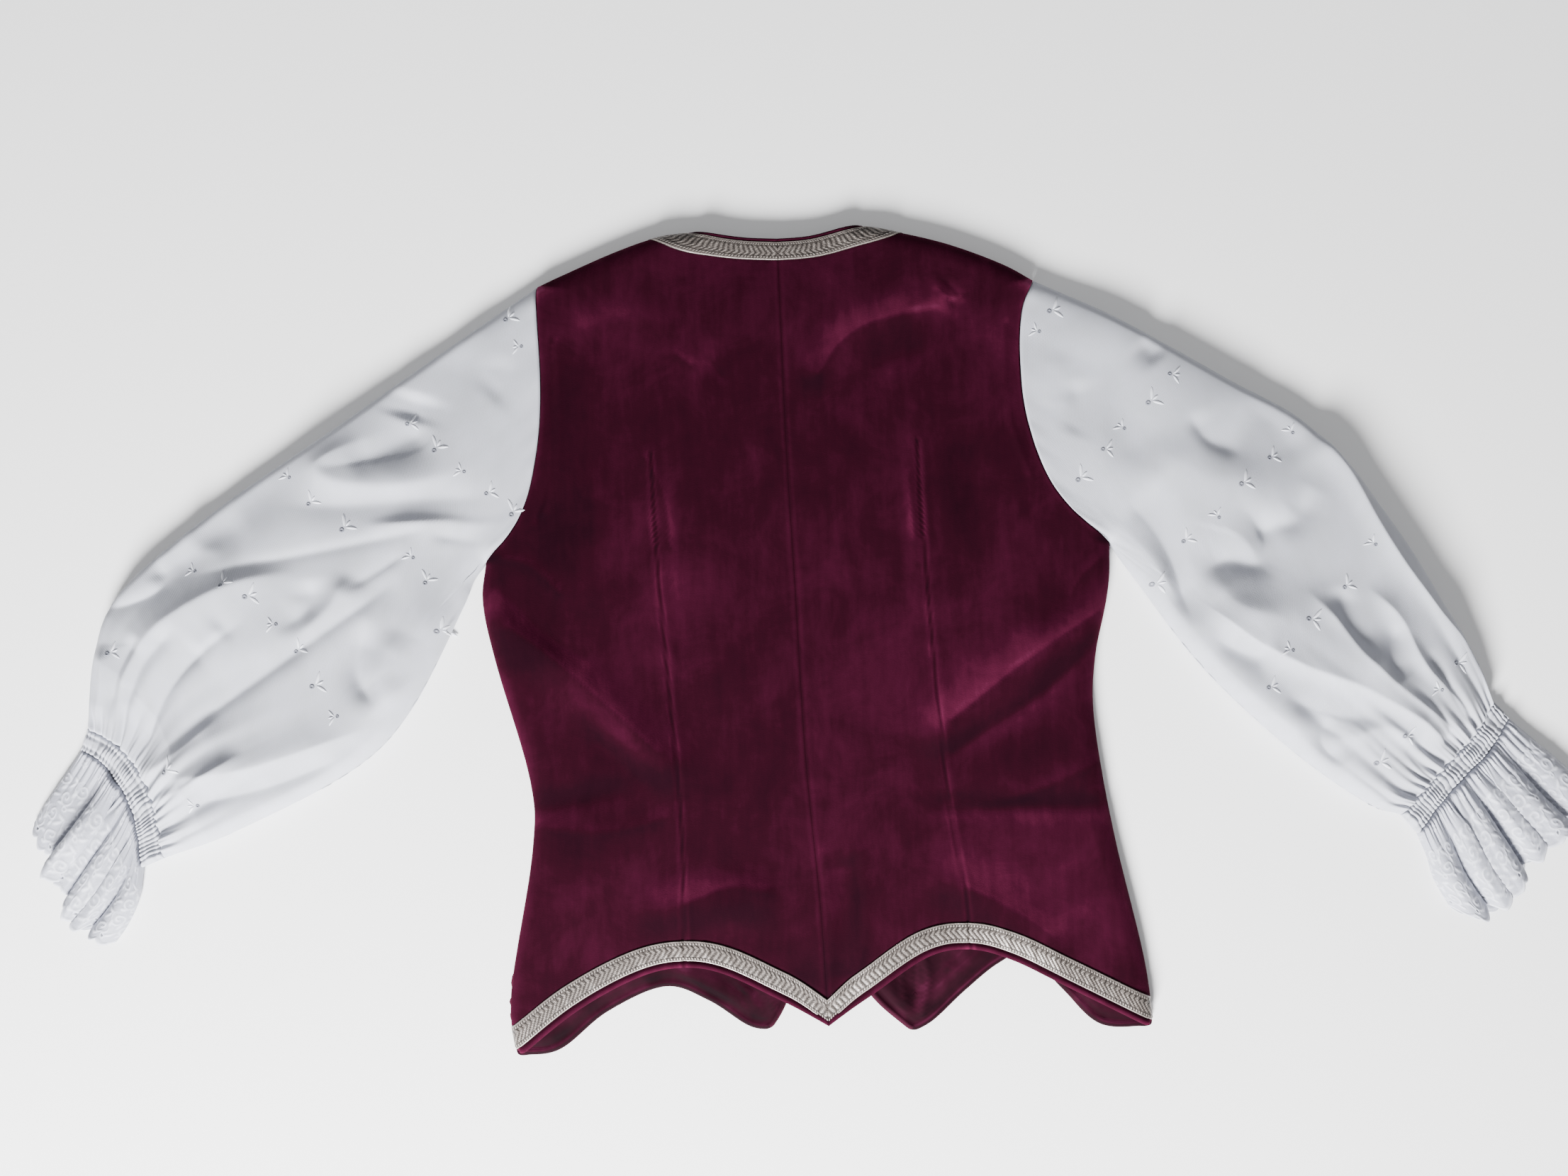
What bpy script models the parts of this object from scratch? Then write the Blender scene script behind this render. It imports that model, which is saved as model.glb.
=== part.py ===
"""Velvet bodice with attached cotton sleeves, laid flat on its front with the back up.

Blender works in metres with +Z up. +Y points to the neck and +X to the right of the laid back.
The outline tables are in millimetres, read off the garment as it lies, so its two sides differ a little.
"""

from collections import namedtuple

import bmesh
import bpy
import numpy as np

MM = 0.001
SIDES = ("left", "right")
AWAY = {"left": -1, "right": 1}  # the way from the centre back to each side

# The tables have the centre back near x = 0. This puts the whole garment's middle on the origin.
LAY_X = -3.0
LAY_Y = 13.0

# Cloth
VELVET_WALL = 2.0  # velvet and its matching lining, bagged out as one
COTTON_WALL = 1.0
BRAID_WALL = 1.0
SEAM_GAP = 0.3  # between two pieces at a seam
ARMHOLE_GAP = 1.3  # along the sleeve, which is at least 0.3 square to the armhole's slanting end
CENTRE_GAP = 0.6  # between the fronts, which meet edge to edge

# Woven braid along the neck, the hem and the front edges
BRAID_WIDE = 14.5
NECK_MARGIN = 3.0  # velvet left outside the braid
HEM_MARGIN = 4.8
TIP_MARGIN = 1.8  # at the point of the back hem
TIP_REACH = 26.0
BRAID_SHOULDER = 3.0  # from the braid to the next row of the panel
MITRE_LIMIT = 1.9  # the most that a slanting end draws out the braid
MARGIN_ROWS = 4  # rows that each edge with braid adds to a panel

# How the back lies over the fronts
BRAID_UNDER = 0.2  # the front's braid clears the ground by this
FRONT_LIFT = BRAID_UNDER + BRAID_WALL + SEAM_GAP  # of the front over its braid and along its seams
SEAM_HEIGHT = FRONT_LIFT + VELVET_WALL + SEAM_GAP  # underside of the back along side and shoulder seams
BACK_LOFT = 13.5  # underside of the back away from the seams
SEAM_ROLL = 17.0

# Outlines of the velvet, from the neck down
CENTRE_BACK = [(-6, 278), (-6, 125), (-4, 10), (-2, -106), (4, -216), (6, -299)]
BACK_NECK = {
    "left": [(-6, 278), (-30, 280), (-53, 284), (-70, 287)],
    "right": [(-6, 278), (17, 279), (41, 284), (56, 287)],
}
SHOULDER = {
    "left": [(-70, 287), (-97, 284), (-129, 274), (-171, 257), (-187, 250)],
    "right": [(56, 287), (79, 282), (121, 270), (161, 253), (184, 239)],
}
ARMHOLE = {
    "left": [(-187, 250), (-186, 216), (-185, 175), (-188, 133), (-197, 92), (-210, 66), (-231, 44)],
    "right": [(184, 239), (173, 216), (169, 180), (171, 138), (182, 96), (200, 66), (229, 39)],
}
SIDE_SEAM = {
    "left": [(-231, 44), (-234, 15), (-225, -32), (-203, -116), (-203, -168), (-221, -266), (-218, -312)],
    "right": [(229, 39), (226, 6), (213, -46), (210, -92), (219, -171), (235, -260), (239, -311)],
}
BACK_HEM = {
    "left": [(6, -299), (-28, -278), (-69, -257), (-100, -252), (-132, -259), (-174, -280), (-218, -312)],
    "right": [(6, -299), (34, -280), (77, -253), (108, -248), (139, -257), (180, -279), (239, -311)],
}
FRONT_NECK = {
    "left": [(-3, 125), (-34, 175), (-58, 240), (-70, 287)],
    "right": [(-3, 125), (25, 175), (46, 240), (56, 287)],
}
FRONTS_MEET = [(-3, 125), (-3, -170)]
FRONT_EDGE = {
    "left": [(-3, -170), (-8, -235), (-22, -280), (-35, -302)],
    "right": [(-3, -170), (12, -235), (37, -280), (66, -308)],
}
MEETING_SHARE = 0.68  # of the front edge, from the neck down
FRONT_HEM = {
    "left": [(-35, -302), (-52, -298), (-80, -279), (-111, -268), (-153, -284), (-188, -309), (-218, -312)],
    "right": [(66, -308), (82, -300), (106, -280), (131, -262), (152, -256), (176, -282), (202, -308),
              (239, -311)],
}

# Outlines of the sleeves, from the armhole to the wrist
SLEEVE_UPPER = {
    "left": [(-187, 250), (-257, 205), (-343, 148), (-428, 93), (-499, 35), (-519, -14), (-525, -64)],
    "right": [(184, 239), (243, 209), (324, 158), (385, 117), (443, 36), (482, -42), (502, -88)],
}
SLEEVE_LOWER = {
    "left": [(-231, 44), (-241, 31), (-250, 11), (-290, -62), (-333, -103), (-418, -143), (-470, -160)],
    "right": [(229, 39), (248, 10), (294, -57), (353, -118), (404, -158), (429, -168)],
}
WRIST = {
    "left": [(-525, -64), (-500, -79), (-482, -104), (-474, -129), (-470, -160)],
    "right": [(502, -88), (484, -113), (464, -132), (446, -150), (429, -168)],
}
BAND_END = {
    "left": [(-530, -79), (-513, -90), (-497, -113), (-489, -136), (-486, -166)],
    "right": [(513, -101), (495, -125), (475, -143), (457, -161), (440, -182)],
}
FRILL_UPPER = {
    "left": [(-530, -79), (-546, -101), (-560, -121), (-567, -134)],
    "right": [(513, -101), (530, -117), (548, -134), (573, -158)],
}
FRILL_LOWER = {
    "left": [(-486, -166), (-489, -188), (-497, -206), (-508, -221)],
    "right": [(440, -182), (446, -199), (450, -216), (461, -238)],
}
FRILL_HEM = {
    "left": [(-567, -134), (-556, -158), (-545, -184), (-534, -208), (-508, -221)],
    "right": [(573, -158), (558, -181), (530, -200), (508, -226), (486, -246), (461, -238)],
}

# Where each grid has its lines, as shares of the way across and down a panel
BACK_ACROSS = (0, 0.1, 0.2, 0.3, 0.4, 0.5, 0.6, 0.7, 0.8, 0.88, 0.94, 0.975, 1)
BACK_DOWN = (0.09, 0.16, 0.22, 0.28, 0.34, 0.4, 0.46, 0.53, 0.6, 0.67, 0.74, 0.81, 0.88)
FRONT_ACROSS = (0.13, 0.26, 0.39, 0.52, 0.65, 0.77, 0.89, 1)  # of the way from the braid to the seams
FRONT_DOWN = (0.16, 0.22, 0.28, 0.34, 0.4, 0.46, 0.58, 0.7, 0.82)
SHOULDER_POINT = 0.16  # share of the way down at which the shoulder meets the armhole
UNDERARM_POINT = 0.46

# The main creases that stand out of the cloth; a height below zero is a trough
Fold = namedtuple("Fold", "name path width height")
BACK_FOLDS = (
    Fold("drag from the left underarm", [(-222, 2), (-165, -45), (-104, -106)], 17, 4.5),
    Fold("drag from the right underarm", [(222, -14), (150, -52), (98, -92)], 17, 4.5),
    Fold("waist crease on the right", [(100, -146), (212, -152)], 9, -1.8),
    Fold("waist crease on the left", [(-202, -135), (-140, -126)], 9, -1.5),
    Fold("lift over the left hem", [(-110, -210), (-45, -206)], 16, 3.5),
    Fold("lift over the right hem", [(100, -200), (165, -248)], 16, 3.5),
    Fold("hollow by the centre back hem", [(21, -190), (19, -262)], 11, -2.0),
    Fold("crescent under the right shoulder", [(18, 176), (45, 202), (85, 216)], 13, 2.5),
)
BACK_DIPS = (
    Fold("point of the back hem", [(6, -299), (6, -290)], 34, -6.0),
    Fold("back of the neck", [(-40, 284), (28, 284)], 34, -4.0),
)
SLEEVE_FOLDS = {
    "left": (
        Fold("outer gather", [(-516, -61), (-501, -38), (-453, 13)], 9, 4.0),
        Fold("second gather", [(-487, -88), (-460, -33), (-435, 9)], 10, 4.0),
        Fold("long fold to the elbow", [(-476, -98), (-431, -61), (-335, 8), (-281, 35)], 14, 7.0),
        Fold("fourth gather", [(-470, -118), (-406, -99), (-305, -53)], 12, 5.0),
        Fold("inner gather", [(-466, -140), (-360, -107)], 9, 3.5),
        Fold("underarm tuck", [(-259, 71), (-230, 63), (-213, 76)], 8, 3.0),
        Fold("hollow under the elbow", [(-440, -20), (-360, 30)], 16, -4.0),
    ),
    "right": (
        Fold("outer ridge", [(389, 109), (405, 61), (464, -33), (489, -86)], 14, 7.0),
        Fold("elbow hollow", [(377, 68), (353, 22), (300, 30)], 15, -5.0),
        Fold("inner ridge", [(290, -6), (351, -38), (415, -91), (461, -122)], 14, 6.0),
        Fold("middle gather", [(423, -28), (450, -80), (475, -114)], 9, 4.0),
        Fold("inner gather", [(400, -134), (445, -148)], 10, 3.5),
        Fold("underarm hollow", [(245, 68), (265, 26), (285, -19)], 14, -3.5),
        Fold("crown fold", [(248, 78), (300, 63), (350, 45)], 13, 3.0),
    ),
}

# Height of the sleeve's upper face above the ground, by share of the way to the wrist
Loft = namedtuple("Loft", "share height")
SLEEVE_LOFT = (Loft(0, 16), Loft(0.15, 21.5), Loft(0.4, 23), Loft(0.7, 25), Loft(0.88, 21), Loft(1, 9))
SLEEVE_EDGE = 4.0  # height of the rounded edge's middle
CROWN_POWER = 0.34  # below 1 the upper face is flatter in the middle and rounder at its edges
BELLY_POWER = 0.22  # the same for the face that lies down
SLEEVE_ACROSS = 24  # steps over the upper face
SLEEVE_UNDER = 8
SLEEVE_SIDE = 1.5  # from the sleeve's edge to its hollow, measured square to it
UNDERARM_FAN = 0.7  # beyond this share of the way across, the sleeve's columns all start at the underarm
SLEEVE_SHARES = (0, 0.04, 0.09, 0.15, 0.21, 0.28, 0.35, 0.42, 0.49, 0.56, 0.63, 0.7, 0.77, 0.83, 0.89,
                 0.945, 1)
LIP_REACH = 60.0  # from the armhole, over which the sleeve leaves the back's height

# Elastic band at the wrist, with its gathers
BAND_HEIGHT = 9.0
BAND_EDGE = 4.0
BAND_WALL = 1.3
GATHERS = 34  # on the face that shows
GATHER_DEPTH = 0.9
GATHERS_FROM = 0.3  # of the arch, so that the rounded edges stay plain
BAND_UNDER = 16

# Frill below the band
FRILL_EDGE = 2.6
FRILL_LOFT = (Loft(0, 8), Loft(0.4, 7), Loft(1, 5))
FRILL_SHARES = (0, 0.3, 0.65, 1)
FRILL_GAP = 0.4  # along the frill, which is about 0.3 square to the band's slanting end
FRILL_ACROSS = 40
SCALLOPS = 10  # on each face
SCALLOP_DEPTH = 0.05  # share of the frill's length
Wave = namedtuple("Wave", "place width height")
FRILL_WAVES = {
    "left": (Wave(0.1, 0.05, 5), Wave(0.27, 0.05, 7), Wave(0.43, 0.06, 12), Wave(0.6, 0.045, 7),
             Wave(0.74, 0.045, 8), Wave(0.89, 0.04, 6)),
    "right": (Wave(0.09, 0.045, 6), Wave(0.25, 0.05, 8), Wave(0.42, 0.045, 9), Wave(0.57, 0.045, 9),
              Wave(0.73, 0.05, 8), Wave(0.89, 0.045, 7)),
}

Finish = namedtuple("Finish", "name color roughness metallic")
VELVET = Finish("velvet", (0.13, 0.008, 0.035), 0.85, 0.0)
COTTON = Finish("cotton", (0.7, 0.71, 0.75), 0.8, 0.0)
BRAID = Finish("braid", (0.5, 0.49, 0.46), 0.4, 0.6)


# How finely the shapes are worked out
CURVE_STEPS = 16
FOLD_STEPS = 5
SHARE_STEPS = 241
NUDGE = 0.002  # share of an edge over which its slope is measured
MERGE = 1e-7  # metres


def curve(points, steps=CURVE_STEPS):
    """A smooth line through the points, as rows of x and y."""
    given = np.array(points, float)
    ends = np.vstack([2 * given[0] - given[1], given, 2 * given[-1] - given[-2]])
    t = np.linspace(0, 1, steps, endpoint=False)[:, None]
    stretches = []
    for a, b, c, d in zip(ends, ends[1:], ends[2:], ends[3:]):
        stretches.append(b + 0.5 * t * (c - a + t * (2 * a - 5 * b + 4 * c - d + t * (3 * b - a - 3 * c + d))))
    return np.vstack([*stretches, given[-1:]])


def lengths(line):
    """The way along a line to each of its points."""
    return np.concatenate([[0], np.cumsum(np.linalg.norm(np.diff(line, axis=0), axis=1))])


def run(tables, stops=(0, 1)):
    """A function from a share to a point on the tables' lines end to end, each between two of the stops."""
    shares, places = [], []
    for table, start, end in zip(tables, stops, stops[1:]):
        line = curve(table)
        way = lengths(line)
        shares.append(start + (end - start) * way / way[-1])
        places.append(line)
    return through(np.concatenate(shares), np.vstack(places))


def through(shares, places):
    """An edge that goes straight from each of these places to the next, at these shares of it."""
    return lambda share: np.stack([np.interp(share, shares, places[:, axis]) for axis in (0, 1)], -1)


def chords(edge, shares):
    """The same edge made straight between these shares of it, so that two pieces meet along one line."""
    shares = np.sort(shares)
    return through(shares, edge(shares))


def trimmed(edge, start, end):
    return lambda share: edge(start + (end - start) * np.asarray(share))


def fan_share(share):
    """Shares run through early, so that the columns beyond fan out from the end."""
    return np.minimum(np.asarray(share) / UNDERARM_FAN, 1)


def fanned(edge):
    return lambda share: edge(fan_share(share))


def patch(near, far, top, bottom):
    """A function that fills four edges: u goes from the near edge to the far one, v from top to bottom."""

    def fill(u, v):
        u, v = np.broadcast_arrays(np.asarray(u, float), np.asarray(v, float))
        wide, high = u[..., None], v[..., None]
        edges = (1 - wide) * near(v) + wide * far(v) + (1 - high) * top(u) + high * bottom(u)
        corners_above = (1 - high) * ((1 - wide) * top(0.0) + wide * top(1.0))
        corners_below = high * ((1 - wide) * bottom(0.0) + wide * bottom(1.0))
        return edges - corners_above - corners_below

    return fill


def across(fill):
    """The same patch with its two ways swapped."""
    return lambda u, v: fill(v, u)


def square_shares(fill, places, widths, from_end):
    """Shares of the lines at these places at which they are so far from the edge, measured square to it."""
    ways = np.linspace(0, 1, SHARE_STEPS)
    if from_end:
        ways = ways[::-1]
    shares = np.empty((len(widths), len(places)))
    for n, place in enumerate(places):
        line = fill(place, ways)
        edge = fill(min(place + NUDGE, 1), ways[0]) - fill(max(place - NUDGE, 0), ways[0])
        inward = line[1] - line[0]
        size = np.linalg.norm(edge) * np.linalg.norm(inward)
        squareness = abs(edge[0] * inward[1] - edge[1] * inward[0]) / size
        stretch = 1 / max(squareness, 1 / MITRE_LIMIT)
        shares[:, n] = np.interp(widths[:, n] * stretch, lengths(line), ways)
    return shares


def margins(outside, count):
    """Distances from an edge at which a panel has a row: the edge, the braid's two sides and one more."""
    outside = np.broadcast_to(outside, count)
    return np.array([0 * outside, outside, outside + BRAID_WIDE, outside + BRAID_WIDE + BRAID_SHOULDER])


def outer_edge(side):
    stops = (0, SHOULDER_POINT, UNDERARM_POINT, 1)
    return run([SHOULDER[side], ARMHOLE[side], SIDE_SEAM[side]], stops)


def rows_for(fill, u, down, top_widths, hem_widths):
    """The whole table of v: margin rows at the top, the panel's own rows, and margin rows at the hem."""
    top = square_shares(fill, u, top_widths, False)
    hem = square_shares(fill, u, hem_widths, True)
    own = np.repeat(np.array(down)[:, None], len(u), axis=1)
    return np.vstack([top, own, hem[::-1]])


def back_plan(side):
    """The back panel's grid, seen from above."""
    fill = patch(run([CENTRE_BACK]), outer_edge(side), run([BACK_NECK[side]]), run([BACK_HEM[side]]))
    u = np.array(BACK_ACROSS, float)
    from_tip = np.linalg.norm(fill(u, 1.0) - np.array(CENTRE_BACK[-1]), axis=1)
    hem_margin = TIP_MARGIN + (HEM_MARGIN - TIP_MARGIN) * np.clip(from_tip / TIP_REACH, 0, 1)
    v = rows_for(fill, u, BACK_DOWN, margins(NECK_MARGIN, len(u)), margins(hem_margin, len(u)))
    plan = fill(u[None, :], v)
    plan[:, 0, 0] += AWAY[side] * SEAM_GAP / 2
    return plan


def front_plan(side):
    """The front panel's grid, seen from above, with the braid's columns along the front edge too."""
    inner_edge = run([FRONTS_MEET, FRONT_EDGE[side]], (0, MEETING_SHARE, 1))
    fill = patch(inner_edge, outer_edge(side), run([FRONT_NECK[side]]), run([FRONT_HEM[side]]))
    count = len(FRONT_DOWN) + 2 * MARGIN_ROWS
    v_inside = np.linspace(0, 1, count)
    for _ in ("rough", "settled"):
        edge_columns = square_shares(across(fill), v_inside, margins(HEM_MARGIN, count), False).T
        last = edge_columns[:, -1:]
        u = np.hstack([edge_columns, last + (1 - last) * np.array(FRONT_ACROSS)])
        middle = u[count // 2]
        neck_widths, hem_widths = margins(NECK_MARGIN, len(middle)), margins(HEM_MARGIN, len(middle))
        v = rows_for(fill, middle, FRONT_DOWN, neck_widths, hem_widths)
        v_inside = v[:, 0]
    plan = fill(u, v)
    plan[:, 0, 0] += AWAY[side] * CENTRE_GAP / 2
    return plan


def away_from(line, x, y):
    """Distance of each place from a line of points."""
    start, end = line[:-1], line[1:]
    step = end - start
    place = np.stack([x, y], -1)[..., None, :]
    share = ((place - start) * step).sum(-1) / np.maximum((step**2).sum(-1), 1e-9)
    nearest = start + np.clip(share, 0, 1)[..., None] * step
    return np.linalg.norm(place - nearest, axis=-1).min(-1)


def relief(folds, x, y):
    """Height that the folds add at each place."""
    total = np.zeros(np.shape(x))
    for fold in folds:
        away = away_from(curve(fold.path, FOLD_STEPS), x, y)
        total += fold.height * np.exp(-((away / fold.width) ** 2))
    return total


def seam_rise(x, y):
    """0 on the outer edges of the laid garment and 1 away from them."""
    tables = (SHOULDER, SIDE_SEAM, SLEEVE_UPPER, SLEEVE_LOWER)
    edges = [curve(table[side], FOLD_STEPS) for table in tables for side in SIDES]
    nearest = np.min([away_from(edge, x, y) for edge in edges], axis=0)
    return np.sin(np.pi / 2 * np.clip(nearest / SEAM_ROLL, 0, 1))


def back_under(x, y):
    """Height of the back's underside: low at the garment's outer edges, lofted between them."""
    lofted = BACK_LOFT - SEAM_HEIGHT + relief(BACK_FOLDS + BACK_DIPS, x, y)
    return SEAM_HEIGHT + seam_rise(x, y) * lofted


def with_height(plan, height):
    return np.concatenate([plan, np.broadcast_to(height, plan.shape[:2])[..., None]], axis=2)


def finished(name, mesh, finish):
    """The mesh as a named object of its own, parented to the garment's empty."""
    bmesh.ops.recalc_face_normals(mesh, faces=mesh.faces[:])
    data = bpy.data.meshes.new(name)
    mesh.to_mesh(data)
    mesh.free()
    data.materials.append(material_for(finish))
    made = bpy.data.objects.new(name, data)
    made.parent = bpy.data.objects["garment"]
    bpy.data.collections["velvet_bodice_with_sleeves"].objects.link(made)
    return made


def material_for(finish):
    found = bpy.data.materials.get(finish.name)
    if found:
        return found
    made = bpy.data.materials.new(finish.name)
    made.use_nodes = True
    shader = made.node_tree.nodes["Principled BSDF"]
    shader.inputs["Base Color"].default_value = (*finish.color, 1)
    shader.inputs["Roughness"].default_value = finish.roughness
    shader.inputs["Metallic"].default_value = finish.metallic
    return made


def cloth(name, finish, under, wall, keep=None):
    """A wall of cloth over a grid of underside points; keep(row, column) picks the cells that it covers."""
    rows, columns = under.shape[:2]
    mesh = bmesh.new()
    bmesh.ops.create_grid(mesh, x_segments=columns - 1, y_segments=rows - 1, size=1)
    if keep:
        left_out = []
        for face in mesh.faces:
            middle = face.calc_center_median()
            cell = int((middle.y + 1) / 2 * (rows - 1)), int((middle.x + 1) / 2 * (columns - 1))
            if not keep(*cell):
                left_out.append(face)
        bmesh.ops.delete(mesh, geom=left_out, context="FACES")
    for vert in mesh.verts:
        row, column = round((vert.co.y + 1) / 2 * (rows - 1)), round((vert.co.x + 1) / 2 * (columns - 1))
        vert.co = under[row, column] * MM
    bmesh.ops.triangulate(mesh, faces=mesh.faces[:])
    extruded = bmesh.ops.extrude_face_region(mesh, geom=mesh.faces[:])
    top = [item for item in extruded["geom"] if isinstance(item, bmesh.types.BMVert)]
    bmesh.ops.translate(mesh, verts=top, vec=(0, 0, wall * MM))
    return finished(name, mesh, finish)


def ring_wall(name, finish, outside, inside):
    """A closed wall through rings, whose inner face has the same triangles as its outer one."""
    loops, around = outside.shape[:2]
    mesh = bmesh.new()
    bmesh.ops.create_grid(mesh, x_segments=around, y_segments=loops - 1, size=1)
    loop, step = mesh.verts.layers.int.new("loop"), mesh.verts.layers.int.new("step")
    for vert in mesh.verts:
        vert[loop] = round((vert.co.y + 1) / 2 * (loops - 1))
        vert[step] = round((vert.co.x + 1) / 2 * around) % around
        vert.co = outside[vert[loop], vert[step]] * MM
    bmesh.ops.remove_doubles(mesh, verts=mesh.verts[:], dist=MERGE)
    bmesh.ops.triangulate(mesh, faces=mesh.faces[:])
    extruded = bmesh.ops.extrude_face_region(mesh, geom=mesh.faces[:])
    for item in extruded["geom"]:
        if isinstance(item, bmesh.types.BMVert):
            item.co = inside[item[loop], item[step]] * MM
    return finished(name, mesh, finish)


def oval(steps_above, steps_below):
    """Shares across a flattened tube, over its upper face and back under it, close together at its edges."""
    above = (1 - np.cos(np.pi * np.arange(steps_above) / steps_above)) / 2
    below = (1 + np.cos(np.pi * np.arange(steps_below) / steps_below)) / 2
    return above, below


def offset_section(share, height, wide, amount):
    """A closed section moved square to its sides; shares are of the width, heights in millimetres."""
    flat = np.stack([share * wide, height], -1)
    onward = np.roll(flat, -1, axis=0) - flat
    onward /= np.linalg.norm(onward, axis=1)[:, None]
    tangent = onward + np.roll(onward, 1, axis=0)
    tangent /= np.linalg.norm(tangent, axis=1)[:, None]
    mitre = 1 / np.maximum((tangent * onward).sum(axis=1), 1 / MITRE_LIMIT)
    outward = np.stack([-tangent[:, 1], tangent[:, 0]], -1)
    moved = flat + outward * (mitre * amount)[:, None]
    return moved[:, 0] / wide, moved[:, 1]


def armhole_line(side):
    """The armhole with the panels' own corners."""
    corners = [share for share in BACK_DOWN if SHOULDER_POINT <= share <= UNDERARM_POINT]
    return chords(run([ARMHOLE[side]]), np.interp(corners, [SHOULDER_POINT, UNDERARM_POINT], [0, 1]))


def wrist_line(side):
    """The line between sleeve and band, with the corners of the sleeve's under side."""
    return chords(run([WRIST[side]]), [*oval(1, SLEEVE_UNDER)[1], 0])


def band_line(side):
    """The line between band and frill, with the frill's own corners."""
    return chords(run([BAND_END[side]]), np.arange(FRILL_ACROSS + 1) / FRILL_ACROSS)


def loft_at(table, share):
    return np.interp(share, [row.share for row in table], [row.height for row in table])


def section(share_above, share_below, edge, top):
    """Heights round a flattened tube that rests on a flat underside."""
    arch = np.sqrt(np.clip(1 - (2 * share_above - 1) ** 2, 0, 1))
    belly = np.sqrt(np.clip(1 - (2 * share_below - 1) ** 2, 0, 1))
    above = edge + (top - edge) * arch**CROWN_POWER
    below = edge * (1 - belly**BELLY_POWER)
    return above, below, arch


def place_ring(fill, share, height, along):
    flat = fill(np.clip(share, 0, 1), along)
    return np.concatenate([flat, height[:, None]], axis=1)


def left_behind(side, flat):
    """0 on the armhole and 1 out on the sleeve."""
    away = np.clip(away_from(curve(ARMHOLE[side], FOLD_STEPS), flat[..., 0], flat[..., 1]) / LIP_REACH, 0, 1)
    return away * away * (3 - 2 * away)


def sleeve_heights(side, fill, above, below, along):
    """Heights round the sleeve, which leaves the armhole at the back's height and is gathered in at the wrist."""
    x, y = fill(above, along).T
    loft = loft_at(SLEEVE_LOFT, along)
    above, below = (share + (1 - along) * (fan_share(share) - share) for share in (above, below))
    z_above, z_below, arch = section(above, below, SLEEVE_EDGE, loft)
    rise = seam_rise(x, y)
    z_above = np.minimum(z_above, SLEEVE_EDGE + rise * (loft - SLEEVE_EDGE))
    z_above += rise * arch * relief(SLEEVE_FOLDS[side], x, y)
    z_above = np.maximum(z_above, SLEEVE_EDGE)
    to_middle = (VELVET_WALL + COTTON_WALL) / 2
    lip = back_under(x, y) + to_middle
    z_above = lip + (z_above - lip) * left_behind(side, np.stack([x, y], -1))
    edge_leaves = left_behind(side, fill(np.array([0.0, 1.0]), along))
    edges = SEAM_HEIGHT + to_middle + (SLEEVE_EDGE - SEAM_HEIGHT - to_middle) * edge_leaves
    return z_above, z_below * np.interp(below, [0, 1], edges) / SLEEVE_EDGE, edges


def sleeve_rings(side):
    """Rings of the sleeve's wall and of its hollow, whose edges stand in from the sleeve's."""
    armhole, wrist = armhole_line(side), wrist_line(side)
    fill = patch(run([SLEEVE_UPPER[side]]), run([SLEEVE_LOWER[side]]), fanned(armhole), wrist)
    above, below = oval(SLEEVE_ACROSS, SLEEVE_UNDER)
    share = np.concatenate([above, below])
    length = np.linalg.norm(fill(0.5, 1.0) - fill(0.5, 0.0))
    alongs = np.interp(SLEEVE_SHARES, [0, 1], [ARMHOLE_GAP / length, 1 - SEAM_GAP / length])
    side_widths = np.full((1, len(alongs)), SLEEVE_SIDE)
    start = square_shares(across(fill), alongs, side_widths, False)[0]
    end = square_shares(across(fill), alongs, side_widths, True)[0]
    hollow_top = fanned(trimmed(armhole, start[0] / UNDERARM_FAN, end[0] / UNDERARM_FAN))
    hollow_sides = through(alongs, fill(start, alongs)), through(alongs, fill(end, alongs))
    hollow = patch(*hollow_sides, hollow_top, trimmed(wrist, start[-1], end[-1]))
    outside, inside = [], []
    for along in alongs:
        z_above, z_below, _ = sleeve_heights(side, fill, above, below, along)
        outside.append(place_ring(fill, share, np.concatenate([z_above, z_below]), along))
        z_above, z_below, edges = sleeve_heights(side, hollow, above, below, along)
        edges -= np.interp(edges, [SLEEVE_EDGE, SLEEVE_EDGE + COTTON_WALL], [0, COTTON_WALL / 2])
        z_above = np.maximum(z_above - COTTON_WALL, np.interp(above, [0, 1], edges))
        z_below = np.minimum(z_below + COTTON_WALL, np.interp(below, [0, 1], edges))
        z_above[0], z_below[0] = edges
        inside.append(place_ring(hollow, share, np.concatenate([z_above, z_below]), along))
    return np.array(outside), np.array(inside)


def band_rings(side):
    """Rings of the elastic wrist band: gathers stand out of its upper face, over a plain inside."""
    upper = run([[WRIST[side][0], BAND_END[side][0]]])
    lower = run([[WRIST[side][-1], BAND_END[side][-1]]])
    fill = patch(upper, lower, wrist_line(side), band_line(side))
    above = np.arange(2 * GATHERS) / (2 * GATHERS)
    below = oval(1, BAND_UNDER)[1]
    share = np.concatenate([above, below])
    z_above, z_below, arch = section(above, below, BAND_EDGE, BAND_HEIGHT - GATHER_DEPTH)
    height = np.concatenate([z_above, z_below])
    ribs = np.concatenate([GATHER_DEPTH * (np.arange(2 * GATHERS) % 2) * (arch > GATHERS_FROM), 0 * below])
    outside, inside = [], []
    wide = np.linalg.norm(fill(1.0, 0.5) - fill(0.0, 0.5))
    length = np.linalg.norm(fill(0.5, 1.0) - fill(0.5, 0.0))
    for along in (SEAM_GAP / length, 1.0):
        outside.append(place_ring(fill, *offset_section(share, height, wide, ribs), along))
        inside.append(place_ring(fill, *offset_section(share, height, wide, -BAND_WALL), along))
    return np.array(outside), np.array(inside)


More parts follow.
